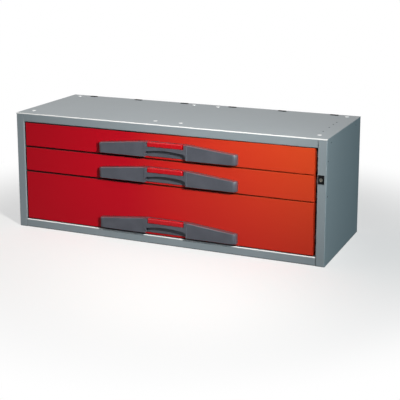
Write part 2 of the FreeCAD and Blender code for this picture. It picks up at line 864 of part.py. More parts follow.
# Strikers: steel blocks welded to the front posts, one beside each latch hook
strikers = []
for drawer, _, bottom in DRAWERS:
    striker = block(
        f"striker_right_{drawer}",
        (
            hook_start,
            f"{striker_y} - sizes.striker_size / 2",
            f"{bottom} + {latch_axis_z} - sizes.striker_drop - sizes.striker_size / 2",
        ),
        (f"{slide_plane} - {hook_start}", "sizes.striker_size", "sizes.striker_size"),
    )
    strikers += [striker, mirrored(f"striker_left_{drawer}", striker)]
group("latch_strikers", strikers)

# Trays: folded steel boxes with a rim turned inwards, welded between the inner rails
for drawer, unit, bottom in DRAWERS:
    tray_height = f"({unit} - sizes.tray_drop)"
    tray_depth = f"({tray_rear} - {front_back})"
    shell = block(
        f"tray_shell_{drawer}", (f"-{tray_side}", front_back, "sizes.tray_lift"),
        (f"2 * {tray_side}", tray_depth, tray_height),
    )
    hollow = block(
        f"tray_hollow_{drawer}",
        (
            f"sizes.tray_steel - {tray_side}",
            f"{front_back} + sizes.tray_steel",
            "sizes.tray_lift + sizes.tray_steel",
        ),
        (
            f"2 * ({tray_side} - sizes.tray_steel)",
            f"{tray_depth} - 2 * sizes.tray_steel",
            f"{tray_height} - 2 * sizes.tray_steel",
        ),
    )
    mouth = block(
        f"tray_mouth_{drawer}",
        (
            f"sizes.tray_rim - {tray_side}",
            f"{front_back} + sizes.tray_rim",
            f"sizes.tray_lift + {tray_height} / 2",
        ),
        (f"2 * ({tray_side} - sizes.tray_rim)", f"{tray_depth} - 2 * sizes.tray_rim", tray_height),
    )
    place(without(f"tray_{drawer}", shell, [hollow, mouth]), z=bottom)


# Drawer fronts: red painted pans, open towards the tray, with a return that the tray is welded to
def clip_places():
    """Places of the handle's four clips along the front, from the handle's middle."""
    return [
        (f"{which}_{side}", f"{sign}sizes.clip_{which}")
        for side, sign in (("left", "-"), ("right", "")) for which in ("first", "second")
    ]


def plunger_places():
    """Places of the release bar's two plungers, from the handle's middle."""
    return [("left", "-sizes.plunger_spread"), ("right", "sizes.plunger_spread")]


def plunger_hole(name, x, height, start, depth):
    """Square cutter round a plunger, from one face to the other."""
    half = "(sizes.plunger_size / 2 + sizes.plunger_clearance)"
    corner = (f"{x} - {half}", start, f"{height} - {half}")
    return through_block(name, "y", corner, (f"2 * {half}", depth, f"2 * {half}"))


for drawer, unit, bottom in DRAWERS:
    pan = new_body(f"front_pan_{drawer}")
    rectangle = box_loop(front_left, front_right, "0", unit)
    pad(pan, f"front_blank_{drawer}", "XZ_Plane", [rectangle], "sizes.front_thickness", f"-{front_back}")
    face = value_of(front_face)
    round_edges(
        pan, f"front_edges_{drawer}", "sizes.front_edge_radius",
        lambda edge: all(abs(v.Point.y - face) < NEAR for v in edge.Vertexes),
    )
    cavity = box_loop(
        f"{front_left} + sizes.front_steel", f"{front_right} - sizes.front_steel",
        "sizes.front_steel", f"{unit} - sizes.front_steel",
    )
    pocket(
        pan, f"front_cavity_{drawer}", "XZ_Plane", [cavity],
        "sizes.front_thickness - sizes.front_steel", f"-{front_back}", along_normal=True,
    )
    weld_return = block(
        f"front_return_{drawer}",
        (front_left, f"{front_back} - sizes.front_steel", "0"),
        (f"{front_right} - {front_left}", "sizes.front_steel", "sizes.front_return"),
    )
    holes = [
        through_block(
            f"front_{drawer}_clip_{name}", "y",
            (
                f"sizes.handle_offset + {x} - sizes.clip_thickness / 2 - sizes.clip_clearance",
                front_face,
                "sizes.handle_lift + sizes.clip_height - sizes.clip_width / 2 - sizes.clip_clearance",
            ),
            (
                "sizes.clip_thickness + 2 * sizes.clip_clearance",
                "sizes.front_steel",
                "sizes.clip_width + 2 * sizes.clip_clearance",
            ),
        )
        for name, x in clip_places()
    ]
    holes += [
        plunger_hole(
            f"front_{drawer}_plunger_{name}", f"sizes.handle_offset + {x}", bar_middle,
            front_face, "sizes.front_steel",
        )
        for name, x in plunger_places()
    ]
    folded = joined(f"front_folded_{drawer}", [pan, weld_return])
    place(without(f"drawer_front_{drawer}", folded, holes), z=bottom)

# Handles: one moulding each, hollow behind the wings, with a window for the release bar, an arched finger
# recess under it, and four clips that snap through the front
half_handle = "(sizes.handle_length / 2)"
half_centre = "(sizes.handle_centre_length / 2)"
half_recess = "(sizes.recess_length / 2)"
half_bar = "(sizes.bar_length / 2)"
wing_depth = "(sizes.handle_depth - sizes.centre_proud)"
cell_inset = "(sizes.handle_wall + sizes.handle_end_radius / 2)"
bar_centre = "(sizes.bar_bottom + sizes.bar_height / 2)"


def wing_top(distance):
    """Height of a wing's top edge at a distance from the handle's middle."""
    fall = "(sizes.handle_centre_height - sizes.handle_end_height)"
    share = f"({distance} - {half_centre}) / ({half_handle} - {half_centre})"
    return f"(sizes.handle_centre_height - {fall} * {share})"


def wing_cells():
    """Hollow cells behind each wing, with ribs left between them."""
    loops = []
    start = f"({half_centre} + sizes.handle_wall)"
    run = f"({half_handle} - {cell_inset} - {start})"
    for i in range(WING_CELLS):
        near = f"({start} + {run} * {i} / {WING_CELLS} + sizes.handle_rib / 2)"
        far = f"({start} + {run} * {i + 1} / {WING_CELLS} - sizes.handle_rib / 2)"
        top_near = f"({wing_top(near)} - sizes.handle_wall)"
        top_far = f"({wing_top(far)} - sizes.handle_wall)"
        low = "sizes.handle_wall"
        loops.append([(near, low), (far, low), (far, top_far), (near, top_near)])
        loops.append([(f"-{far}", low), (f"-{near}", low), (f"-{near}", top_near), (f"-{far}", top_far)])
    return loops


def step_plan(sign):
    """Plan of what is cut off in front of a wing, down a slanting step from the centre."""
    front = "(-sizes.handle_depth - sizes.cutter_overrun)"
    outside = f"{sign}({half_handle} + sizes.cutter_overrun)"
    return [
        (f"{sign}{half_centre}", front),
        (f"{sign}{half_centre}", "-sizes.handle_depth"),
        (f"{sign}({half_centre} + sizes.centre_proud)", f"-{wing_depth}"),
        (outside, f"-{wing_depth}"),
        (outside, front),
    ]


def end_plan(sign):
    """Plan of what is cut off round a wing's outer end."""
    front = f"(-{wing_depth} - sizes.cutter_overrun)"
    radius = "sizes.handle_end_radius"
    outside = f"{sign}({half_handle} + sizes.cutter_overrun)"
    return [
        (f"{sign}({half_handle} - {radius})", front),
        (f"{sign}({half_handle} - {radius})", f"-{wing_depth}", f"{sign}{radius}"),
        (f"{sign}{half_handle}", f"{radius} - {wing_depth}"),
        (outside, f"{radius} - {wing_depth}"),
        (outside, front),
    ]


def handle_body(name):
    """The moulding without its clips."""
    body = new_body(f"{name}_moulding")
    corner = "sizes.handle_corner_radius"
    silhouette = [
        (f"-{half_handle}", "0"),
        (half_handle, "0"),
        (half_handle, f"sizes.handle_end_height - {corner}", corner),
        (f"{half_handle} - {corner}", "sizes.handle_end_height"),
        (half_centre, "sizes.handle_centre_height"),
        (f"-{half_centre}", "sizes.handle_centre_height"),
        (f"{corner} - {half_handle}", "sizes.handle_end_height", corner),
        (f"-{half_handle}", f"sizes.handle_end_height - {corner}"),
    ]
    pad(body, f"{name}_blank", "XZ_Plane", [silhouette], "sizes.handle_depth")
    pocket(
        body, f"{name}_steps", "XY_Plane", [step_plan(""), step_plan("-")], "sizes.handle_centre_height",
        along_normal=True,
    )
    wing_face = -value_of(wing_depth)
    lowest = value_of("sizes.handle_end_height") - NEAR
    bevel_edges(
        body, f"{name}_rim", "sizes.handle_bevel",
        lambda edge: all(abs(v.Point.y - wing_face) < NEAR and v.Point.z > lowest for v in edge.Vertexes),
    )
    pocket(
        body, f"{name}_ends", "XY_Plane", [end_plan(""), end_plan("-")], "sizes.handle_centre_height",
        along_normal=True,
    )
    pocket(
        body, f"{name}_cells", "XZ_Plane", wing_cells(), f"{wing_depth} - sizes.handle_wall",
        along_normal=True,
    )
    window = box_loop(
        f"-{half_bar} - sizes.bar_clearance", f"{half_bar} + sizes.bar_clearance",
        "sizes.bar_bottom - sizes.bar_clearance", "sizes.handle_centre_height + sizes.cutter_overrun",
    )
    pocket(
        body, f"{name}_window", "XZ_Plane", [window], "sizes.handle_depth - sizes.handle_back",
        "sizes.handle_depth",
    )
    cheek = value_of(f"{half_bar} + sizes.bar_clearance")
    centre_face = -value_of("sizes.handle_depth")
    bevel_edges(
        body, f"{name}_cheeks", "sizes.window_bevel",
        lambda edge: any(runs_through(edge, "z", x, centre_face) for x in (-cheek, cheek)),
    )
    corner_centre = f"({half_recess} - sizes.recess_corner)"
    crown_distance = "(sizes.recess_crown - sizes.recess_corner)"
    crown_rise = f"sqrt({crown_distance} * {crown_distance} - {corner_centre} * {corner_centre})"
    crown_low = "(sizes.recess_height - sizes.recess_crown)"
    side_height = f"({crown_low} + {crown_rise})"
    join_x = f"(sizes.recess_crown * {corner_centre} / {crown_distance})"
    join_z = f"({crown_low} + sizes.recess_crown * {crown_rise} / {crown_distance})"
    arch = [
        (f"-{half_recess}", "-sizes.cutter_overrun"),
        (half_recess, "-sizes.cutter_overrun"),
        (half_recess, side_height, "sizes.recess_corner"),
        (join_x, join_z, "sizes.recess_crown"),
        (f"-{join_x}", join_z, "sizes.recess_corner"),
        (f"-{half_recess}", side_height),
    ]
    pocket(
        body, f"{name}_recess", "XZ_Plane", [arch], "sizes.handle_depth - sizes.handle_back",
        "sizes.handle_depth",
    )
    finger_space = box_loop(
        f"sizes.finger_space_inset - {half_recess}", f"{half_recess} - sizes.finger_space_inset",
        "sizes.grip_thickness - sizes.handle_depth", "-sizes.handle_back",
    )
    pocket(
        body, f"{name}_finger_space", "XY_Plane", [finger_space],
        "sizes.bar_bottom - sizes.bar_clearance - sizes.grip_roof", along_normal=True,
    )
    return body


def handle_clip(name, x):
    """Stem from inside the wing's wall, with a barb that catches behind the front's steel."""
    stem = block(
        f"{name}_stem",
        (
            f"{x} - sizes.clip_thickness / 2",
            f"sizes.handle_wall / 2 - {wing_depth}",
            "sizes.clip_height - sizes.clip_width / 2",
        ),
        (
            "sizes.clip_thickness",
            f"{wing_depth} - sizes.handle_wall / 2 + sizes.front_steel + sizes.fit_clearance"
            " + sizes.clip_barb_length",
            "sizes.clip_width",
        ),
    )
    barb = block(
        f"{name}_barb",
        (
            f"{x} - sizes.clip_thickness / 2",
            "sizes.front_steel + sizes.fit_clearance",
            "sizes.clip_height - sizes.clip_width / 2 - sizes.clip_barb",
        ),
        ("sizes.clip_thickness", "sizes.clip_barb_length", "sizes.clip_width + 2 * sizes.clip_barb"),
    )
    return [stem, barb]


for drawer, _, bottom in DRAWERS:
    name = f"handle_{drawer}"
    clips = [piece for which, x in clip_places() for piece in handle_clip(f"{name}_clip_{which}", x)]
    moulding = joined(f"{name}_with_clips", [handle_body(name)] + clips)
    plunger_holes = [
        plunger_hole(f"{name}_plunger_hole_{side}", x, bar_centre, "-sizes.handle_back", "sizes.handle_back")
        for side, x in plunger_places()
    ]
    place(
        without(name, moulding, plunger_holes),
        "sizes.handle_offset", front_face, f"{bottom} + sizes.handle_lift",
    )

# Release bars: red thumb bars in the handle's window, each with two plungers through the front
for drawer, _, bottom in DRAWERS:
    bar = new_body(f"bar_block_{drawer}")
    loop = box_loop(f"-{half_bar}", half_bar, "sizes.bar_bottom", "sizes.bar_bottom + sizes.bar_height")
    back = "(sizes.handle_depth + sizes.bar_proud - sizes.bar_depth)"
    pad(bar, f"bar_pad_{drawer}", "XZ_Plane", [loop], "sizes.bar_depth", back)
    bar_face = -value_of("sizes.handle_depth + sizes.bar_proud")
    round_edges(
        bar, f"bar_edges_{drawer}", "sizes.bar_edge_radius",
        lambda edge: all(abs(v.Point.y - bar_face) < NEAR for v in edge.Vertexes),
    )
    lever_front = f"({latch_axis_y} - {front_face} - sizes.lever_thickness / 2)"
    plungers = [
        block(
            f"plunger_{drawer}_{side}",
            (f"{x} - sizes.plunger_size / 2", f"-{back}", f"{bar_centre} - sizes.plunger_size / 2"),
            ("sizes.plunger_size", f"{back} + {lever_front} - sizes.latch_gap", "sizes.plunger_size"),
        )
        for side, x in plunger_places()
    ]
    place(
        joined(f"release_bar_{drawer}", [bar] + plungers),
        "sizes.handle_offset", front_face, f"{bottom} + sizes.handle_lift",
    )


# Latch shafts: a rod along the inside of each front with two levers and a hook at either end
def hook(name):
    """Right hand hook plate, drawn about the shaft's axis."""
    body = new_body(name)
    half = "sizes.hook_half_height"
    nose_start = "sizes.hook_reach - sizes.hook_nose"
    nose_bottom = "(sizes.striker_size / 2 + sizes.hook_lift_gap - sizes.striker_drop)"
    arm_bottom = f"({nose_bottom} + sizes.hook_relief)"
    corners = [
        (f"-{half}", f"-{half}"),
        (half, f"-{half}"),
        (f"2 * {half}", arm_bottom),
        (nose_start, arm_bottom),
        (nose_start, nose_bottom),
        ("sizes.hook_reach", nose_bottom),
        ("sizes.hook_reach", half),
        (f"-{half}", half),
    ]
    pad(body, f"{name}_plate", "YZ_Plane", [corners], "sizes.hook_thickness", hook_start)
    return body


for drawer, _, bottom in DRAWERS:
    name = f"latch_shaft_{drawer}"
    shaft = rod(f"{name}_rod", "x", (f"-{hook_start}", "0", "0"), "sizes.shaft_radius", f"2 * {hook_start}")
    right_hook = hook(f"{name}_hook")
    levers = [
        block(
            f"{name}_lever_{side}",
            (
                f"sizes.handle_offset + {x} - sizes.lever_width / 2",
                "-sizes.lever_thickness / 2",
                f"-{lever_arm} - sizes.lever_tail",
            ),
            ("sizes.lever_width", "sizes.lever_thickness", f"{lever_arm} + sizes.lever_tail"),
        )
        for side, x in plunger_places()
    ]
    place(
        joined(name, [shaft, right_hook, mirrored(f"{name}_hook_left", right_hook)] + levers),
        "0", latch_axis_y, f"{bottom} + {latch_axis_z}",
    )

# Latch brackets: two angle brackets inside each front that carry the shaft
inside_face = f"({front_face} + sizes.front_steel)"
for drawer, _, bottom in DRAWERS:
    brackets = []
    for side, x in (("left", "-sizes.bracket_position"), ("right", "sizes.bracket_position")):
        low = f"({latch_axis_z} - sizes.bracket_height / 2)"
        plate = block(
            f"bracket_plate_{drawer}_{side}", (x, inside_face, low),
            (
                "sizes.bracket_steel",
                f"{front_back} - sizes.bracket_rear_gap - {inside_face}",
                "sizes.bracket_height",
            ),
        )
        foot = block(
            f"bracket_foot_{drawer}_{side}", (x, inside_face, low),
            ("sizes.bracket_foot", "sizes.bracket_steel / 2", "sizes.bracket_height"),
        )
        bore = through(
            rod, f"bracket_bore_{drawer}_{side}", "x", (x, latch_axis_y, latch_axis_z),
            "sizes.shaft_radius + sizes.shaft_clearance", "sizes.bracket_steel",
        )
        brackets.append(without(
            f"bracket_{drawer}_{side}", joined(f"bracket_blank_{drawer}_{side}", [plate, foot]), [bore],
        ))
    place(group(f"latch_brackets_{drawer}", brackets), z=bottom)

# Latch springs: a torsion spring round each shaft, its coil drawn as a six-sided sleeve and its leg against
# the front
for drawer, _, bottom in DRAWERS:
    start = "(sizes.bracket_position - sizes.spring_length - sizes.seam_gap)"
    inner_radius = "(sizes.shaft_radius + sizes.spring_clearance)"
    axis_start = (start, latch_axis_y, latch_axis_z)
    coil = hexagon(
        f"spring_coil_{drawer}", "x", axis_start,
        f"({inner_radius} + sizes.spring_wire) / cos(30deg)", "sizes.spring_length",
    )
    leg = block(
        f"spring_leg_{drawer}",
        (start, inside_face, f"{latch_axis_z} - sizes.spring_wire / 2"),
        ("sizes.spring_wire", f"{latch_axis_y} - {inside_face}", "sizes.spring_wire"),
    )
    bore = through(rod, f"spring_bore_{drawer}", "x", axis_start, inner_radius, "sizes.spring_length")
    place(without(f"latch_spring_{drawer}", joined(f"spring_blank_{drawer}", [coil, leg]), [bore]), z=bottom)

# Lock: black bezel with its threaded barrel, a nut behind the post's face, the key plug and its cam
bezel_front = f"(-{half_depth} - sizes.bezel_thickness)"
barrel_end = f"(sizes.lock_barrel_length - {half_depth})"
lock_place = (lock_x, bezel_front, lock_z)
barrel_run = f"{barrel_end} - {bezel_front}"

bezel = new_body("bezel_plate")
bezel_loop = box_loop(
    f"{lock_x} - sizes.bezel_width / 2", f"{lock_x} + sizes.bezel_width / 2",
    f"{lock_z} - sizes.bezel_height / 2", f"{lock_z} + sizes.bezel_height / 2",
)
pad(bezel, "bezel_pad", "XZ_Plane", [bezel_loop], "sizes.bezel_thickness", half_depth)
bezel_face = value_of(bezel_front)
bevel_edges(
    bezel, "bezel_edges", "sizes.bezel_bevel",
    lambda edge: all(abs(v.Point.y - bezel_face) < NEAR for v in edge.Vertexes),
)
barrel = rod("lock_barrel", "y", lock_place, "sizes.lock_barrel_radius", barrel_run)
plug_bore = through(
    rod, "plug_bore", "y", lock_place, "sizes.lock_plug_radius + sizes.fit_clearance", barrel_run,
)
without("lock_bezel", joined("bezel_with_barrel", [bezel, barrel]), [plug_bore])

nut_place = (lock_x, f"sizes.steel - {half_depth}", lock_z)
without(
    "lock_nut",
    hexagon("lock_nut_blank", "y", nut_place, "sizes.lock_nut_radius", "sizes.lock_nut_thickness"),
    [through(
        rod, "lock_nut_bore", "y", nut_place, "sizes.lock_barrel_radius + sizes.fit_clearance",
        "sizes.lock_nut_thickness",
    )],
)

plug_front = f"({bezel_front} - sizes.lock_plug_proud)"
cam_front = f"({barrel_end} + sizes.seam_gap)"
plug = rod(
    "plug_blank", "y", (lock_x, plug_front, lock_z), "sizes.lock_plug_radius",
    f"{cam_front} - {plug_front}",
)
key_slot = block(
    "key_slot",
    (
        f"{lock_x} - sizes.key_slot_width / 2",
        f"{plug_front} - sizes.cutter_overrun",
        f"{lock_z} - sizes.key_slot_length / 2",
    ),
    ("sizes.key_slot_width", "sizes.key_slot_depth + sizes.cutter_overrun", "sizes.key_slot_length"),
)
without("lock_plug", plug, [key_slot])

# The cam points 45 degrees up when the drawers are free, and 45 degrees down when they are locked
cam_step = "(sizes.cam_throw * cos(45deg))"
pin_x = f"({lock_x} + {cam_step})"
pin_z = f"({lock_z} + {cam_step})"
cam_arm = block(
    "cam_arm", ("0", "0", "0"),
    ("sizes.cam_throw + 2 * sizes.cam_half_width", "sizes.cam_thickness", "2 * sizes.cam_half_width"),
)
cam_arm.Placement = FreeCAD.Placement(FreeCAD.Vector(), FreeCAD.Rotation(FreeCAD.Vector(0, 1, 0), -45))
place(cam_arm, lock_x, cam_front, f"{lock_z} - sizes.cam_half_width * sqrt(2)")
cam_pin = rod(
    "cam_pin", "y", (pin_x, cam_front, pin_z), "sizes.cam_pin_radius",
    f"{lock_bar_front} + sizes.lock_bar_steel + sizes.cam_pin_proud - {cam_front}",
)
joined("lock_cam", [cam_arm, cam_pin])

# Lock bar: a flat bar in the right post whose fingers drop in front of the moving rails
strip_low = f"({finger_places[2]} - sizes.lock_bar_end)"
strip_high = f"({finger_places[0]} + sizes.lock_bar_end)"
strip = block(
    "lock_strip", (lock_bar_x, lock_bar_front, strip_low),
    ("sizes.lock_bar_width", "sizes.lock_bar_steel", f"{strip_high} - {strip_low}"),
)
fingers = [
    block(
        f"lock_finger_{i}",
        (f"{slide_plane} - sizes.lock_finger_reach", lock_bar_front, f"{z} - sizes.lock_finger_height / 2"),
        (
            "sizes.lock_finger_reach + sizes.lock_bar_left + sizes.lock_bar_width / 2",
            "sizes.lock_bar_steel",
            "sizes.lock_finger_height",
        ),
    )
    for i, z in enumerate(finger_places)
]
pin_room = "(sizes.cam_pin_radius + sizes.cam_slot_clearance)"
cam_slot = through_block(
    "cam_slot", "y", (f"{pin_x} - {pin_room}", lock_bar_front, f"{pin_z} - {pin_room}"),
    (f"sizes.cam_throw - {cam_step} + 2 * {pin_room}", "sizes.lock_bar_steel", f"2 * {pin_room}"),
)
without("lock_bar", joined("lock_bar_blank", [strip] + fingers), [cam_slot])

guides = []
for name, height in (
    ("guide_low", f"({strip_low} + sizes.guide_inset)"),
    ("guide_high", f"({strip_high} - sizes.guide_inset)"),
):
    guide = block(
        f"{name}_block",
        (
            f"{slide_plane} + sizes.steel",
            f"{lock_bar_front} - sizes.guide_wall",
            f"{height} - sizes.guide_height / 2",
        ),
        ("sizes.guide_width", "sizes.lock_bar_steel + 2 * sizes.guide_wall", "sizes.guide_height"),
    )
    groove = through_block(
        f"{name}_groove", "z",
        (
            f"{lock_bar_x} - sizes.latch_gap",
            f"{lock_bar_front} - sizes.latch_gap",
            f"{height} - sizes.guide_height / 2",
        ),
        ("sizes.guide_width", "sizes.lock_bar_steel + 2 * sizes.latch_gap", "sizes.guide_height"),
    )
    guides.append(without(f"{name}_cut", guide, [groove]))
group("lock_bar_guides", guides)

NODES = [
    "side_panel_left", "side_panel_right", "top_panel", "bottom_panel", "rear_panel", "rivet_nuts",
    "latch_strikers", "lock_bezel", "lock_nut", "lock_plug", "lock_cam", "lock_bar", "lock_bar_guides",
]
for drawer, _, _ in DRAWERS:
    NODES += [
        f"outer_rail_left_{drawer}", f"outer_rail_right_{drawer}", f"middle_rail_left_{drawer}",
        f"middle_rail_right_{drawer}", f"inner_rail_left_{drawer}", f"inner_rail_right_{drawer}",
        f"outer_ball_cages_{drawer}", f"inner_ball_cages_{drawer}", f"tray_{drawer}",
        f"drawer_front_{drawer}", f"handle_{drawer}", f"release_bar_{drawer}", f"latch_shaft_{drawer}",
        f"latch_spring_{drawer}", f"latch_brackets_{drawer}",
    ]

doc.recompute()

for thing in doc.Objects:
    if "Invalid" in thing.State or "Error" in thing.State:
        raise RuntimeError(f"{thing.Name} failed to build: {thing.State}")
for name in NODES:
    shape = doc.getObject(name).Shape
    if shape.isNull() or not shape.isValid() or not shape.Solids:
        raise RuntimeError(f"{name} has no valid solid")

os.makedirs("parts", exist_ok=True)
for name in NODES:
    piece = doc.getObject(name)
    piece.Label = name
    piece.Shape.exportStep(f"parts/{name}.step")
    print(f"{name}: {len(piece.Shape.Solids)} solids, {piece.Shape.Volume / 1000:.1f} cm3")
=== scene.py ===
# A low, wide tool cabinet with three drawers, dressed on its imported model.
# Metres, in the model's own frame: X along the front, Y from front to rear, Z up.

import math

import bmesh
import bpy
from mathutils import Euler, Matrix, Vector


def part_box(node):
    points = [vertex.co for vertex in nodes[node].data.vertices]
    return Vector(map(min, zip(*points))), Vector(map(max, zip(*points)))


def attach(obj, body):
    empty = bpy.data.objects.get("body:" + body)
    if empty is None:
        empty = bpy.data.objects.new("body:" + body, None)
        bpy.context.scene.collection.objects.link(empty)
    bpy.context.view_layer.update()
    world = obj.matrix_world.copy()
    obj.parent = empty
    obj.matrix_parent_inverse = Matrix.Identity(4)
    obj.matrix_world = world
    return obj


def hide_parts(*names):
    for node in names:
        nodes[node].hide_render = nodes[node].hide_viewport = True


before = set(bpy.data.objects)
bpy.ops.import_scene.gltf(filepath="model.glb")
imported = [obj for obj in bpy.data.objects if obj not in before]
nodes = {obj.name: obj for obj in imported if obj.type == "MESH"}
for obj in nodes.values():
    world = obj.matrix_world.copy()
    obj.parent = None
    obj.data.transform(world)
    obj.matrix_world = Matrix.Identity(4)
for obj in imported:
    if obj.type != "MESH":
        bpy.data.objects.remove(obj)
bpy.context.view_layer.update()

# Side panels: 1.5 mm cold rolled sheet, each folded into a closed front post and a rear flange. Powder
# coated after folding, so the grey skin has the faint orange peel of a baked powder and is drawn thin,
# and so a little paler, over every cut edge and fold.
MM = 0.001
DRAWERS = (1, 2, 3)
TONE_DRIFT = 220 * MM
PEEL_CELL = 2.2 * MM
UP_AND_FORWARD = (0, -math.sqrt(0.5), math.sqrt(0.5))
DOWN_AND_FORWARD = (0, -math.sqrt(0.5), -math.sqrt(0.5))
THIN_COAT_WIDTH = 1.2 * MM
GAP_REACH = 7 * MM
GAP_SHADE_COLOUR = "0C0D0E"


def linear(hex_colour):
    """Linear RGBA of an sRGB hex colour."""
    channels = [int(hex_colour[i:i + 2], 16) / 255 for i in (0, 2, 4)]
    return [c / 12.92 if c <= 0.04045 else ((c + 0.055) / 1.055) ** 2.4 for c in channels] + [1]


def add_node(material, kind, inputs=(), **settings):
    """Adds a node with its settings; each input is a value or another node's output."""
    made = material.node_tree.nodes.new(kind)
    for name, value in settings.items():
        setattr(made, name, value)
    for socket, value in dict(inputs).items():
        if isinstance(value, bpy.types.NodeSocket):
            material.node_tree.links.new(value, made.inputs[socket])
        else:
            made.inputs[socket].default_value = value
    return made


def new_surface(name, **values):
    """A material with values on its shader's own sockets. Returns it, its shader and object coordinates."""
    material = bpy.data.materials.new(name)
    material.use_nodes = True
    shader = material.node_tree.nodes["Principled BSDF"]
    for socket, value in values.items():
        shader.inputs[socket.replace("_", " ")].default_value = value
    return material, shader, add_node(material, "ShaderNodeTexCoord").outputs["Object"]


def wire(material, output, shader, socket):
    material.node_tree.links.new(output, shader.inputs[socket])


def powder_coated_steel(name, colour, thin_colour, roughness, painted_folds, fold_painted_light_colour):
    """Baked polyester powder on sheet steel: satin, with orange peel, slow drifts of tone and thin edges.

    The folds that face given ways take a colour of their own: pale for a painted highlight, dark for painted shade.
    Ambient occlusion also darkens the narrow gaps towards near black, as painted shade, so they read as dark lines.
    """
    material, shader, place = new_surface(name, IOR=1.5, Coat_Weight=0.15, Coat_Roughness=0.2)
    drift = add_node(material, "ShaderNodeTexNoise", {"Vector": place, "Scale": 1 / TONE_DRIFT, "Detail": 4})
    tone = add_node(material, "ShaderNodeMapRange", {
        "Value": drift.outputs["Fac"], "From Min": 0.3, "From Max": 0.7, "To Min": 0, "To Max": 0.18,
    })
    edge = add_node(material, "ShaderNodeBevel", {"Radius": THIN_COAT_WIDTH}, samples=6)
    flat = add_node(material, "ShaderNodeNewGeometry")
    turn = add_node(material, "ShaderNodeVectorMath", {
        0: edge.outputs["Normal"], 1: flat.outputs["Normal"],
    }, operation="DOT_PRODUCT")
    thin = add_node(material, "ShaderNodeMapRange", {
        "Value": turn.outputs["Value"], "From Min": 0.995, "From Max": 0.8, "To Min": 0, "To Max": 0.55,
    })
    either = add_node(material, "ShaderNodeMath", {
        0: tone.outputs["Result"], 1: thin.outputs["Result"],
    }, operation="ADD", use_clamp=True)
    coat = add_node(material, "ShaderNodeMix", {
        "Factor": either.outputs["Value"], "A": linear(colour), "B": linear(thin_colour),
    }, data_type="RGBA")
    lean = 0
    # Mask of the folds that get the painted highlight or painted shade.
    for facing in painted_folds:
        towards = add_node(material, "ShaderNodeVectorMath", {
            0: flat.outputs["Normal"], 1: facing,
        }, operation="DOT_PRODUCT")
        most = add_node(material, "ShaderNodeMath", {0: towards.outputs["Value"], 1: lean}, operation="MAXIMUM")
        lean = most.outputs["Value"]
    fold = add_node(material, "ShaderNodeMapRange", {
        "Value": lean, "From Min": 0.73, "From Max": 0.87, "To Min": 0, "To Max": 1,
    })
    with_fold_light = add_node(material, "ShaderNodeMix", {
        "Factor": fold.outputs["Result"], "A": coat.outputs["Result"], "B": linear(fold_painted_light_colour),
    }, data_type="RGBA")
    # Narrow gaps and inside corners are darkened towards near black by ambient occlusion: painted shade.
    open_air = add_node(material, "ShaderNodeAmbientOcclusion", {"Distance": GAP_REACH}, samples=8)
    gap_shade = add_node(material, "ShaderNodeMapRange", {
        "Value": open_air.outputs["AO"], "From Min": 0.72, "From Max": 0.4, "To Min": 0, "To Max": 0.95,
    })
    with_gap_shade = add_node(material, "ShaderNodeMix", {
        "Factor": gap_shade.outputs["Result"], "A": with_fold_light.outputs["Result"], "B": linear(GAP_SHADE_COLOUR),
    }, data_type="RGBA")
    wire(material, with_gap_shade.outputs["Result"], shader, "Base Color")
    satin = add_node(material, "ShaderNodeMapRange", {
        "Value": fold.outputs["Result"], "To Min": roughness, "To Max": roughness * 0.5,
    })
    wire(material, satin.outputs["Result"], shader, "Roughness")
    peel = add_node(material, "ShaderNodeTexNoise", {"Vector": place, "Scale": 1 / PEEL_CELL, "Detail": 1})
    skin = add_node(material, "ShaderNodeBump", {
        "Height": peel.outputs["Fac"], "Strength": 0.12, "Distance": 0.08 * MM, "Normal": edge.outputs["Normal"],
    })
    wire(material, skin.outputs["Normal"], shader, "Normal")
    wire(material, skin.outputs["Normal"], shader, "Coat Normal")
    return material


def finish(material, *names):
    """Gives nodes of the model their material."""
    for name in names:
        nodes[name].data.materials.clear()
        nodes[name].data.materials.append(material)


# The carcass's upper front folds are painted near white: a painted highlight along each fold, with a smoother finish
# there.
grey_coat = powder_coated_steel(
    "powder_coated_steel_grey", "8B969C", "A1ABB1", 0.42, painted_folds=[UP_AND_FORWARD], fold_painted_light_colour="F6F8F8",
)
finish(grey_coat, "side_panel_left", "side_panel_right")

# Lid: one sheet folded down into the top rail in front, with six slots at the rear for hooking the next module on.
# Four spare holes near its right end are closed with small black push-in plugs. Flush black discs fill the side
# panels' holes: painted shade, standing in for the dark inside of the holes.
LID_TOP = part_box("top_panel")[1].z
PLUG_X = 458 * MM
PLUG_FROM_REAR = (119 * MM, 156 * MM, 199 * MM, 260 * MM)
PLUG_RADIUS = 2.3 * MM
PLUG_CROWN = 0.6 * MM
PANEL_FACE = 500 * MM
SIDE_HOLES = [(-142 * MM, 349 * MM), (123 * MM, 349 * MM), (-167.4 * MM, 301 * MM), (-167.4 * MM, 201 * MM)]
SIDE_HOLE_SHADE_RADIUS = 2.45 * MM
MOULD_GRAIN = 0.7 * MM


def new_piece(name, mesh_data, body, material):
    """Ends the mesh, makes it a piece of the cabinet, and lets it move with a body."""
    mesh = bpy.data.meshes.new(name)
    mesh_data.normal_update()
    mesh_data.to_mesh(mesh)
    mesh_data.free()
    mesh.polygons.foreach_set("use_smooth", [True] * len(mesh.polygons))
    mesh.materials.append(material)
    piece = bpy.data.objects.new(name, mesh)
    bpy.context.collection.objects.link(piece)
    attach(piece, body)
    return piece


def turned(mesh_data, profile, steps, place):
    """Turns a profile of (radius, height) round its axis and sets it at a place."""
    rings = []
    for radius, height in profile:
        if radius:
            angles = [2 * math.pi * i / steps for i in range(steps)]
            ring = [(radius * math.cos(a), radius * math.sin(a), height) for a in angles]
        else:
            ring = [(0, 0, height)]
        rings.append([mesh_data.verts.new(place @ Vector(point)) for point in ring])
    for lower, upper in zip(rings, rings[1:]):
        for i in range(steps):
            j = (i + 1) % steps
            corners = [lower[i % len(lower)], lower[j % len(lower)], upper[j % len(upper)], upper[i % len(upper)]]
            mesh_data.faces.new(list(dict.fromkeys(corners)))


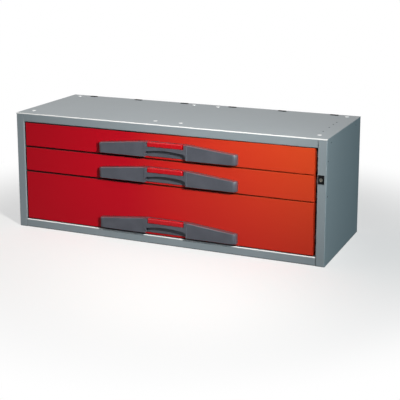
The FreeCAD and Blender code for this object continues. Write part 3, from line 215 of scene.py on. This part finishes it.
def moulded_nylon(name, colour, worn_colour, roughness, gloss, skin):
    """Glass filled nylon from a spark eroded mould: matt, with a fine even grain that rubs paler.

    The resin rich skin over it takes a sharper shine.
    """
    material, shader, place = new_surface(
        name, Roughness=roughness, IOR=1.53, Specular_IOR_Level=gloss, Coat_Weight=skin, Coat_Roughness=0.12,
    )
    rub = add_node(material, "ShaderNodeTexNoise", {"Vector": place, "Scale": 1 / (35 * MM), "Detail": 5})
    wear_and_painted_light = add_node(material, "ShaderNodeMapRange", {
        "Value": rub.outputs["Fac"], "From Min": 0.4, "From Max": 0.75, "To Min": 0, "To Max": 0.6,
    })
    tone = add_node(material, "ShaderNodeMix", {
        "Factor": wear_and_painted_light.outputs["Result"], "A": linear(colour), "B": linear(worn_colour),
    }, data_type="RGBA")
    wire(material, tone.outputs["Result"], shader, "Base Color")
    # A real grain of 0.1 mm is too fine to show, so it is drawn seven times as coarse.
    grain = add_node(material, "ShaderNodeTexVoronoi", {"Vector": place, "Scale": 1 / MOULD_GRAIN})
    relief = add_node(material, "ShaderNodeBump", {
        "Height": grain.outputs["Distance"], "Strength": 0.25, "Distance": 0.08 * MM,
    })
    wire(material, relief.outputs["Normal"], shader, "Normal")
    return material


finish(grey_coat, "top_panel")
black_nylon = moulded_nylon("moulded_nylon_black", "0A0B0D", "15161A", 0.55, gloss=0.15, skin=0)
plugs = bmesh.new()
for distance in PLUG_FROM_REAR:
    crown = [(PLUG_RADIUS, 0), (PLUG_RADIUS, PLUG_CROWN / 3), (PLUG_RADIUS * 0.7, PLUG_CROWN * 0.85), (0, PLUG_CROWN)]
    turned(plugs, crown, 16, Matrix.Translation((PLUG_X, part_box("top_panel")[1].y - distance, LID_TOP)))
new_piece("lid_hole_plugs", plugs, "carcass", black_nylon)
# Black discs flush in the side panels' holes: painted shade for the holes' dark inside.
side_hole_shade = bmesh.new()
flush = [(SIDE_HOLE_SHADE_RADIUS, -3 * PLUG_CROWN), (SIDE_HOLE_SHADE_RADIUS, -PLUG_CROWN / 2), (SIDE_HOLE_SHADE_RADIUS * 0.8, 0), (0, 0)]
for side in (-1, 1):
    for y, z in SIDE_HOLES:
        outwards = Matrix.Rotation(side * math.pi / 2, 4, "Y")
        turned(side_hole_shade, flush, 16, Matrix.Translation((side * (PANEL_FACE - 0.05 * MM), y, z)) @ outwards)
new_piece("side_hole_painted_shade", side_hole_shade, "carcass", black_nylon)

# Slot liners: thin black rubber mouldings set in the lid's six slots, open in the middle, each with a low flange along
# the slot. Their black is painted shade, standing in for the dark inside of the slots.
SLOTS_X = [side * step * MM for side in (-1, 1) for step in (84, 252, 420)]
SLOT_FROM_REAR = 10 * MM
SLOT_HALF_LENGTH = 12.5 * MM
SLOT_HALF_WIDTH = 3 * MM
LINER_WALL = 0.5 * MM
LINER_FLANGE = 4 * MM
LINER_CROWN = 0.75 * MM
LINER_END_SHARE = 0.4
LINER_DEPTH = 3 * MM


def moulded_rubber():
    """EPDM rubber: dead black, with a fine bloom that gives it no shine."""
    material, shader, place = new_surface("moulded_rubber_black", Roughness=0.9, Specular_IOR_Level=0.1)
    bloom = add_node(material, "ShaderNodeTexNoise", {"Vector": place, "Scale": 1 / (8 * MM), "Detail": 3})
    tone = add_node(material, "ShaderNodeMix", {
        "Factor": bloom.outputs["Fac"], "A": linear("060607"), "B": linear("101113"),
    }, data_type="RGBA")
    wire(material, tone.outputs["Result"], shader, "Base Color")
    return material


def oval(half_length, half_width, steps=10):
    """Points of a slot's outline with round ends."""
    straight = half_length - half_width
    points = []
    for centre, start in ((straight, -math.pi / 2), (-straight, math.pi / 2)):
        for i in range(steps + 1):
            angle = start + math.pi * i / steps
            points.append((centre + half_width * math.cos(angle), half_width * math.sin(angle)))
    return points


slot_shade_liners = bmesh.new()
section = [
    (-LINER_WALL, -LINER_DEPTH), (-LINER_WALL, LINER_CROWN * 0.7), (0, LINER_CROWN),
    (LINER_FLANGE * 0.8, LINER_CROWN), (LINER_FLANGE, LINER_CROWN * 0.5), (LINER_FLANGE, 0), (0, 0), (0, -LINER_DEPTH),
]
for x in SLOTS_X:
    rings = []
    for out, height in section:
        outline = oval(SLOT_HALF_LENGTH + out * LINER_END_SHARE, SLOT_HALF_WIDTH + out)
        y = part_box("top_panel")[1].y - SLOT_FROM_REAR
        rings.append([slot_shade_liners.verts.new((x + px, y + py, LID_TOP + height)) for px, py in outline])
    for inner, outer in zip(rings, rings[1:] + rings[:1]):
        for i in range(len(inner)):
            j = (i + 1) % len(inner)
            slot_shade_liners.faces.new((inner[i], outer[i], outer[j], inner[j]))
bmesh.ops.recalc_face_normals(slot_shade_liners, faces=slot_shade_liners.faces)
new_piece("lid_slot_shade_liners", slot_shade_liners, "carcass", moulded_rubber())

# Floor and rear panel: plain folded sheets, coated with the carcass. The rear panel is spot welded to the
# flanges round it, which leaves a row of shallow electrode rings along each edge.
REAR_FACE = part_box("rear_panel")[1].y
WELD_RADIUS = 3 * MM
WELD_RIM = 0.15 * MM
WELD_INSET = 10 * MM
WELD_PITCH = 85 * MM


def evenly(start, end, pitch):
    """Places from start to end, no further apart than a pitch."""
    count = math.ceil((end - start) / pitch)
    return [start + (end - start) * i / count for i in range(count + 1)]


finish(grey_coat, "bottom_panel", "rear_panel")
low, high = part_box("rear_panel")
across = evenly(low.x + WELD_INSET, high.x - WELD_INSET, WELD_PITCH)
upwards = evenly(low.z + WELD_INSET, high.z - WELD_INSET, WELD_PITCH)
welds = [(x, z) for x in across for z in (upwards[0], upwards[-1])]
welds += [(x, z) for x in (across[0], across[-1]) for z in upwards[1:-1]]
weld_rings = bmesh.new()
for x, z in welds:
    facing_rear = Matrix.Translation((x, REAR_FACE, z)) @ Matrix.Rotation(-math.pi / 2, 4, "X")
    rim = [(WELD_RADIUS * 1.15, 0), (WELD_RADIUS, WELD_RIM), (WELD_RADIUS * 0.85, WELD_RIM * 0.2), (0, WELD_RIM * 0.1)]
    turned(weld_rings, rim, 20, facing_rear)
new_piece("rear_weld_marks", weld_rings, "carcass", grey_coat)

# Rivet nuts, strikers, latch shafts and brackets, lock nut, cam and bar: steel, zinc plated and clear
# passivated, so it is a bright bluish grey with faint clouds and fine rolling lines.
ROLLED_LINE = 0.5 * MM


def zinc_plated_steel(name, colour, cloud_colour, roughness):
    """Zinc plate: a soft metal shine with clouds of passivation, and lines from rolling along Y."""
    material, shader, place = new_surface(name, Metallic=1)
    cloud = add_node(material, "ShaderNodeTexNoise", {"Vector": place, "Scale": 1 / (12 * MM), "Detail": 4})
    tone = add_node(material, "ShaderNodeMix", {
        "Factor": cloud.outputs["Fac"], "A": linear(colour), "B": linear(cloud_colour),
    }, data_type="RGBA")
    wire(material, tone.outputs["Result"], shader, "Base Color")
    shine = add_node(material, "ShaderNodeMapRange", {
        "Value": cloud.outputs["Fac"], "To Min": roughness - 0.08, "To Max": roughness + 0.08,
    })
    wire(material, shine.outputs["Result"], shader, "Roughness")
    drawn = add_node(material, "ShaderNodeMapping", {
        "Vector": place, "Scale": (1 / ROLLED_LINE, 0.02 / ROLLED_LINE, 1 / ROLLED_LINE),
    })
    lines = add_node(material, "ShaderNodeTexNoise", {"Vector": drawn.outputs["Vector"], "Scale": 1, "Detail": 2})
    relief = add_node(material, "ShaderNodeBump", {
        "Height": lines.outputs["Fac"], "Strength": 0.15, "Distance": 0.03 * MM,
    })
    wire(material, relief.outputs["Normal"], shader, "Normal")
    return material


zinc = zinc_plated_steel("zinc_plated_steel", "C3CACE", "A7AFB4", 0.34)
finish(zinc, "latch_strikers", "lock_nut", "lock_cam", "lock_bar")
polished_zinc = zinc_plated_steel("barrel_polished_zinc", "F7F7F5", "E8EAEA", 0.16)
finish(polished_zinc, "rivet_nuts")
for n in DRAWERS:
    finish(zinc, f"latch_shaft_{n}", f"latch_brackets_{n}")

# Thread screws: zinc plated socket set screws run into the lid's eight rivet nuts, flush with their flanges,
# to keep swarf out of threads that nothing else is screwed into.
NUTS_X = (-464 * MM, -41.5 * MM, 41.5 * MM, 464 * MM)
NUTS_Y = (-135 * MM, 152 * MM)
SCREW_RADIUS = 2.5 * MM
SCREW_LENGTH = 4 * MM
SOCKET_RADIUS = 1.1 * MM
SOCKET_DEPTH = 1.2 * MM
screws = bmesh.new()
nuts_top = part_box("rivet_nuts")[1].z
screw_line = [
    (SCREW_RADIUS, -SCREW_LENGTH), (SCREW_RADIUS, -0.2 * MM), (SCREW_RADIUS * 0.92, 0),
    (SOCKET_RADIUS, 0), (SOCKET_RADIUS, -SOCKET_DEPTH), (0, -SOCKET_DEPTH * 1.1),
]
for x in NUTS_X:
    for y in NUTS_Y:
        turned(screws, screw_line, 18, Matrix.Translation((x, y, nuts_top)))
new_piece("nut_thread_screws", screws, "carcass", polished_zinc)

# Slides: three rolled steel channels one inside the other, zinc plated like the small parts. Between them
# run thin stamped cages, each with two rows of hardened and polished balls.
BALL_RADIUS = 1.6 * MM
BALL_PITCH = 13 * MM
CAGE_END = 6 * MM
RACE_MIDDLE = 1.65 * MM
BALL_INSET = 4.2 * MM


def polished_bearing_steel():
    """Lapped balls under a film of grease: a mirror, softened in patches."""
    material, shader, place = new_surface("polished_bearing_steel", Metallic=1, Base_Color=linear("D5D6D8"))
    grease = add_node(material, "ShaderNodeTexNoise", {"Vector": place, "Scale": 1 / (6 * MM), "Detail": 2})
    film = add_node(material, "ShaderNodeMapRange", {
        "Value": grease.outputs["Fac"], "From Min": 0.35, "From Max": 0.65, "To Min": 0.06, "To Max": 0.28,
    })
    wire(material, film.outputs["Result"], shader, "Roughness")
    return material


bearing_steel = polished_bearing_steel()
cage_strip = zinc_plated_steel("galvanised_strip", "D0D3D2", "B4B9BA", 0.26)
for n in DRAWERS:
    for side in ("left", "right"):
        finish(zinc, f"outer_rail_{side}_{n}", f"middle_rail_{side}_{n}", f"inner_rail_{side}_{n}")
    for cages, carrier in (("outer", f"middle_rail_right_{n}"), ("inner", f"inner_rail_right_{n}")):
        cage = f"{cages}_ball_cages_{n}"
        finish(cage_strip, cage)
        low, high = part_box(cage)
        rail_low, rail_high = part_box(carrier)
        balls = bmesh.new()
        for x in (high.x - BALL_INSET, BALL_INSET - high.x):
            for z in (rail_low.z - RACE_MIDDLE, rail_high.z + RACE_MIDDLE):
                for y in evenly(low.y + CAGE_END, high.y - CAGE_END, BALL_PITCH):
                    bmesh.ops.create_icosphere(
                        balls, subdivisions=2, radius=BALL_RADIUS, matrix=Matrix.Translation((x, y, z)),
                    )
        new_piece(f"{cages}_balls_{n}", balls, f"{cages}_cages_{n}", bearing_steel)

# Trays: 1 mm sheet folded into open boxes with rims turned inwards, coated in the same grey as the
# carcass but in a thinner, flatter coat.
# The trays' upper front folds are painted paler: a painted highlight.
tray_coat = powder_coated_steel(
    "powder_coated_steel_tray", "8B9598", "A0A9AC", 0.48, painted_folds=[UP_AND_FORWARD], fold_painted_light_colour="B4BCBE",
)
finish(tray_coat, *[f"tray_{n}" for n in DRAWERS])

# Drawer fronts: 1.2 mm sheet folded back on all four sides, powder coated in a fuller, flatter red. Towards the upper
# right the red is painted lighter and more orange: painted light from the key lamp.
PAINTED_LIGHT_RED = "DA481D"
PAINTED_LIGHT_FROM = -120 * MM
fronts_low, fronts_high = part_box("drawer_front_3")[0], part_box("drawer_front_1")[1]
# The folds above and below are painted near black: painted shade, so the gaps between the fronts read dark.
red_coat = powder_coated_steel(
    "powder_coated_steel_red", "BE001A", "C60C1C", 0.45, [UP_AND_FORWARD, DOWN_AND_FORWARD], fold_painted_light_colour="2A0507",
)
red_coat.node_tree.nodes["Principled BSDF"].inputs["Specular IOR Level"].default_value = 0.25
fronts = add_node(red_coat, "ShaderNodeTexCoord").outputs["Object"]
measured = add_node(red_coat, "ShaderNodeSeparateXYZ", {"Vector": fronts})
rightwards = add_node(red_coat, "ShaderNodeMapRange", {
    "Value": measured.outputs["X"], "From Min": PAINTED_LIGHT_FROM, "From Max": fronts_high.x,
})
upwards = add_node(red_coat, "ShaderNodeMapRange", {
    "Value": measured.outputs["Z"], "From Min": fronts_low.z, "From Max": fronts_high.z, "To Min": 0.5, "To Max": 1,
})
painted_light_share = add_node(red_coat, "ShaderNodeMath", {
    0: rightwards.outputs["Result"], 1: upwards.outputs["Result"],
}, operation="MULTIPLY")
shader = red_coat.node_tree.nodes["Principled BSDF"]
unlit_red = shader.inputs["Base Color"].links[0].from_socket
# Mixes the painted light into the red towards the upper right.
wear_and_painted_light = add_node(red_coat, "ShaderNodeMix", {
    "Factor": painted_light_share.outputs["Value"], "A": unlit_red, "B": linear(PAINTED_LIGHT_RED),
}, data_type="RGBA")
wire(red_coat, wear_and_painted_light.outputs["Result"], shader, "Base Color")
finish(red_coat, *[f"drawer_front_{n}" for n in DRAWERS])

# Handles: one injection moulding each, in grey glass filled nylon, snapped through the front by four
# clips. Every outer edge has the small radius that a mould leaves.
MOULDED_EDGE = 0.8 * MM


def soften(name, width):
    """Rounds the sharp edges of a node of the model by a small width."""
    weld = nodes[name].modifiers.new("join_seams", "WELD")
    weld.merge_threshold = 0.005 * MM
    edge = nodes[name].modifiers.new("rounded_edges", "BEVEL")
    edge.width = width
    edge.segments = 2
    edge.limit_method = "ANGLE"
    edge.angle_limit = math.radians(40)
    edge.harden_normals = True


grey_nylon = moulded_nylon("moulded_nylon_grey", "50535C", "60636D", 0.34, gloss=0.5, skin=1)
for n in DRAWERS:
    finish(grey_nylon, f"handle_{n}")
    soften(f"handle_{n}", MOULDED_EDGE)

# Release bars: red ABS from a polished mould, glossy, and scuffed with fine lines where fingers press it.
SCUFF_LENGTH = 9 * MM
SCUFF_WIDTH = 0.8 * MM


def moulded_abs(name, colour, deep_colour, roughness):
    """Glossy ABS: the colour sinks slightly into it, and scuffs along X break up its gloss."""
    material, shader, place = new_surface(name, IOR=1.54, Coat_Weight=0.4, Coat_Roughness=0.06)
    flow = add_node(material, "ShaderNodeTexNoise", {"Vector": place, "Scale": 1 / (25 * MM), "Detail": 2})
    tone = add_node(material, "ShaderNodeMix", {
        "Factor": flow.outputs["Fac"], "A": linear(colour), "B": linear(deep_colour),
    }, data_type="RGBA")
    wire(material, tone.outputs["Result"], shader, "Base Color")
    along = add_node(material, "ShaderNodeMapping", {
        "Vector": place, "Scale": (1 / SCUFF_LENGTH, 1 / SCUFF_WIDTH, 1 / SCUFF_WIDTH),
    })
    scuffs = add_node(material, "ShaderNodeTexNoise", {"Vector": along.outputs["Vector"], "Scale": 1, "Detail": 3})
    gloss = add_node(material, "ShaderNodeMapRange", {
        "Value": scuffs.outputs["Fac"], "From Min": 0.45, "From Max": 0.7,
        "To Min": roughness, "To Max": roughness + 0.2,
    })
    wire(material, gloss.outputs["Result"], shader, "Roughness")
    return material


red_abs = moulded_abs("moulded_abs_red", "CE0A1A", "B80A18", 0.16)
for n in DRAWERS:
    finish(red_abs, f"release_bar_{n}")
    soften(f"release_bar_{n}", MOULDED_EDGE / 2)

# Latch springs: torsion springs of 1 mm wire wound round each latch shaft. One leg rests against the
# inside of the front and the other hooks over the shaft, and turns the hooks back down.
WIRE_RADIUS = 0.5 * MM
COIL_TURNS = 11
TURN_POINTS = 20
LEG_TURNED_IN = 0.6


def drawn_spring_wire():
    """Patented steel wire, oil blued: dark, with a hard streak of light along the wire."""
    material, shader, place = new_surface("drawn_spring_wire", Metallic=1, Base_Color=linear("6E7276"))
    blueing = add_node(material, "ShaderNodeTexNoise", {"Vector": place, "Scale": 1 / (3 * MM), "Detail": 3})
    shine = add_node(material, "ShaderNodeMapRange", {
        "Value": blueing.outputs["Fac"], "To Min": 0.2, "To Max": 0.42,
    })
    wire(material, shine.outputs["Result"], shader, "Roughness")
    return material


spring_wire = drawn_spring_wire()
for n in DRAWERS:
    low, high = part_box(f"latch_spring_{n}")
    shaft_low, shaft_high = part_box(f"latch_shaft_{n}")
    axis_y = high.y - (high.z - low.z) / 2 * math.cos(math.radians(30))
    axis_z = (low.z + high.z) / 2
    coil_radius = (high.z - low.z) / 2 - WIRE_RADIUS
    start_x, end_x = low.x + WIRE_RADIUS, high.x - WIRE_RADIUS
    points = [(start_x, low.y + WIRE_RADIUS, axis_z + coil_radius)]
    for i in range(COIL_TURNS * TURN_POINTS + 1):
        angle = 2 * math.pi * i / TURN_POINTS
        x = start_x + (end_x - start_x) * i / (COIL_TURNS * TURN_POINTS)
        points.append((x, axis_y + coil_radius * math.sin(angle), axis_z + coil_radius * math.cos(angle)))
    points.append((end_x, axis_y, axis_z + coil_radius * LEG_TURNED_IN))
    path = bpy.data.curves.new(f"wound_spring_{n}", "CURVE")
    path.dimensions = "3D"
    path.bevel_depth = WIRE_RADIUS
    path.bevel_resolution = 2
    path.use_fill_caps = True
    spline = path.splines.new("POLY")
    spline.points.add(len(points) - 1)
    for point, place in zip(spline.points, points):
        point.co = (*place, 1)
    path.materials.append(spring_wire)
    spring = bpy.data.objects.new(f"wound_spring_{n}", path)
    bpy.context.collection.objects.link(spring)
    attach(spring, f"drawer_{n}")
    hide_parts(f"latch_spring_{n}")

# Lock: a black moulded plate with the lock's barrel behind it, held by a nut inside the post. The key
# plug is nickel plated brass, turned, so fine rings run round its face. Two nylon guides carry the bar.
TURNED_RING = 0.9 * MM


def nickel_plated_brass(name, axis):
    """Nickel plate: warm and bright, with turned rings round an axis that runs along Y."""
    material, shader, place = new_surface(name, Metallic=1, Base_Color=linear("D9D4C8"))
    centred = add_node(material, "ShaderNodeVectorMath", {0: place, 1: axis}, operation="SUBTRACT")
    rings = add_node(material, "ShaderNodeTexWave", {
        "Vector": centred.outputs["Vector"], "Scale": MM / TURNED_RING / (20 * MM), "Distortion": 0.3,
    }, wave_type="RINGS", rings_direction="Y")
    relief = add_node(material, "ShaderNodeBump", {
        "Height": rings.outputs["Fac"], "Strength": 0.2, "Distance": 0.05 * MM,
    })
    wire(material, relief.outputs["Normal"], shader, "Normal")
    shine = add_node(material, "ShaderNodeMapRange", {
        "Value": rings.outputs["Fac"], "To Min": 0.14, "To Max": 0.3,
    })
    wire(material, shine.outputs["Result"], shader, "Roughness")
    return material


finish(black_nylon, "lock_bezel", "lock_bar_guides")
low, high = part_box("lock_plug")
finish(nickel_plated_brass("nickel_plated_brass", (low + high) / 2), "lock_plug")

# Table: a matt white board under the cabinet, which runs out to plain white a little way behind it. What
# it throws back on the cabinet is greyer than what the camera sees, as in a studio with a dark floor.
TABLE_HALF = 30
TABLE_DROP = 0.2 * MM
WHITE_FROM = 0.55
WHITE_BY = 1.15
SHADOW_LEFT = 0.5


def matt_table():
    """White paint to the camera, with the shadow kept near the cabinet, and mid grey to the cabinet."""
    material, shader, place = new_surface("matt_painted_board", Roughness=0.9)
    seen = add_node(material, "ShaderNodeLightPath").outputs["Is Camera Ray"]
    board = add_node(material, "ShaderNodeMix", {
        "Factor": seen, "A": linear("74787A"), "B": linear("FCFCFC"),
    }, data_type="RGBA")
    wire(material, board.outputs["Result"], shader, "Base Color")
    distance = add_node(material, "ShaderNodeVectorMath", {0: place}, operation="LENGTH")
    far = add_node(material, "ShaderNodeMapRange", {
        "Value": distance.outputs["Value"], "From Min": WHITE_FROM, "From Max": WHITE_BY,
        "To Min": 1 - SHADOW_LEFT,
    }, interpolation_type="SMOOTHSTEP")
    blend = add_node(material, "ShaderNodeMath", {0: far.outputs["Result"], 1: seen}, operation="MULTIPLY")
    white = add_node(material, "ShaderNodeEmission", {"Strength": 1})
    mixed = add_node(material, "ShaderNodeMixShader", {
        0: blend.outputs["Value"], 1: shader.outputs["BSDF"], 2: white.outputs["Emission"],
    })
    wire(material, mixed.outputs["Shader"], material.node_tree.nodes["Material Output"], "Surface")
    return material


corners = [(-TABLE_HALF, -TABLE_HALF), (TABLE_HALF, -TABLE_HALF), (TABLE_HALF, TABLE_HALF), (-TABLE_HALF, TABLE_HALF)]
table_mesh = bpy.data.meshes.new("table")
table_mesh.from_pydata([(x, y, -TABLE_DROP) for x, y in corners], [], [(0, 1, 2, 3)])
table_mesh.materials.append(matt_table())
table = bpy.data.objects.new("table", table_mesh)
bpy.context.collection.objects.link(table)

# Room: white where the camera or a reflection looks at it. As a source of light it is dim, cool from the
# walls and plainer and darker from the ceiling.
room = bpy.data.worlds.new("studio_room")
room.use_nodes = True
bpy.context.scene.world = room
rays = add_node(room, "ShaderNodeLightPath")
looked_at = add_node(room, "ShaderNodeMath", {
    0: rays.outputs["Is Camera Ray"], 1: rays.outputs["Is Glossy Ray"],
}, operation="MAXIMUM")
looked_at = add_node(room, "ShaderNodeMath", {
    0: looked_at.outputs["Value"], 1: rays.outputs["Is Transmission Ray"],
}, operation="MAXIMUM")
direction = add_node(room, "ShaderNodeTexCoord").outputs["Generated"]
upwards = add_node(room, "ShaderNodeSeparateXYZ", {"Vector": direction}).outputs["Z"]
upwards = add_node(room, "ShaderNodeMapRange", {"Value": upwards, "From Min": 0.1, "From Max": 0.7})
given_off = add_node(room, "ShaderNodeMix", {
    "Factor": upwards.outputs["Result"], "A": [0.115, 0.175, 0.2, 1], "B": [0.14, 0.13, 0.13, 1],
}, data_type="RGBA")
walls = add_node(room, "ShaderNodeMix", {
    "Factor": looked_at.outputs["Value"], "A": given_off.outputs["Result"], "B": [1, 1, 1, 1],
}, data_type="RGBA")
wire(room, walls.outputs["Result"], room.node_tree.nodes["Background"], "Color")


def lamp(name, place, target, size, watts, colour, spread=180):
    """A soft rectangular lamp aimed at a target, with a grid that narrows its beam to a spread in degrees."""
    light = bpy.data.lights.new(name, "AREA")
    light.shape = "RECTANGLE"
    light.size, light.size_y = size
    light.energy = watts
    light.color = colour
    light.spread = math.radians(spread)
    stand = bpy.data.objects.new(name, light)
    bpy.context.collection.objects.link(stand)
    stand.location = place
    stand.rotation_euler = (Vector(target) - Vector(place)).to_track_quat("-Z", "Y").to_euler()


# Lamps: a small warm key close in front of the right end, which drives the handles' shadows down and to
# the left, a long box overhead that draws a bright line along the lid's front fold, a cool fill for the
# right side panel, and a low fill behind for the rear and the left side.
lamp("key", (1, -1.12, 0.95), (-0.3, -0.18, 0.15), (0.16, 0.16), 5.5, (1, 0.965, 0.93), spread=75)
lamp("overhead", (-0.9, -0.3, 1.8), (-0.4, 0, 0.36), (1.8, 0.6), 5.2, (1, 0.94, 0.89))
lamp("side_fill", (2.3, -0.5, 0.6), (0.5, -0.1, 0.15), (0.9, 0.9), 6.6, (0.35, 0.88, 1))
lamp("rear_fill", (-1.7, 2, 0.24), (-0.2, 0.1, 0.15), (1.6, 0.2), 14, (0.93, 0.98, 1))

# Camera: where the photograph was taken from, fitted to seven corners of the carcass.
lens = bpy.data.cameras.new("camera")
lens.lens = 89.2
lens.shift_y = -0.2
camera = bpy.data.objects.new("camera", lens)
bpy.context.collection.objects.link(camera)
camera.location = (1.2244, -2.7332, 0.9408)
camera.rotation_euler = Euler((math.radians(90 - 11.21), 0, math.radians(23.35)))
bpy.context.scene.camera = camera
bpy.context.scene.view_settings.view_transform = "Standard"
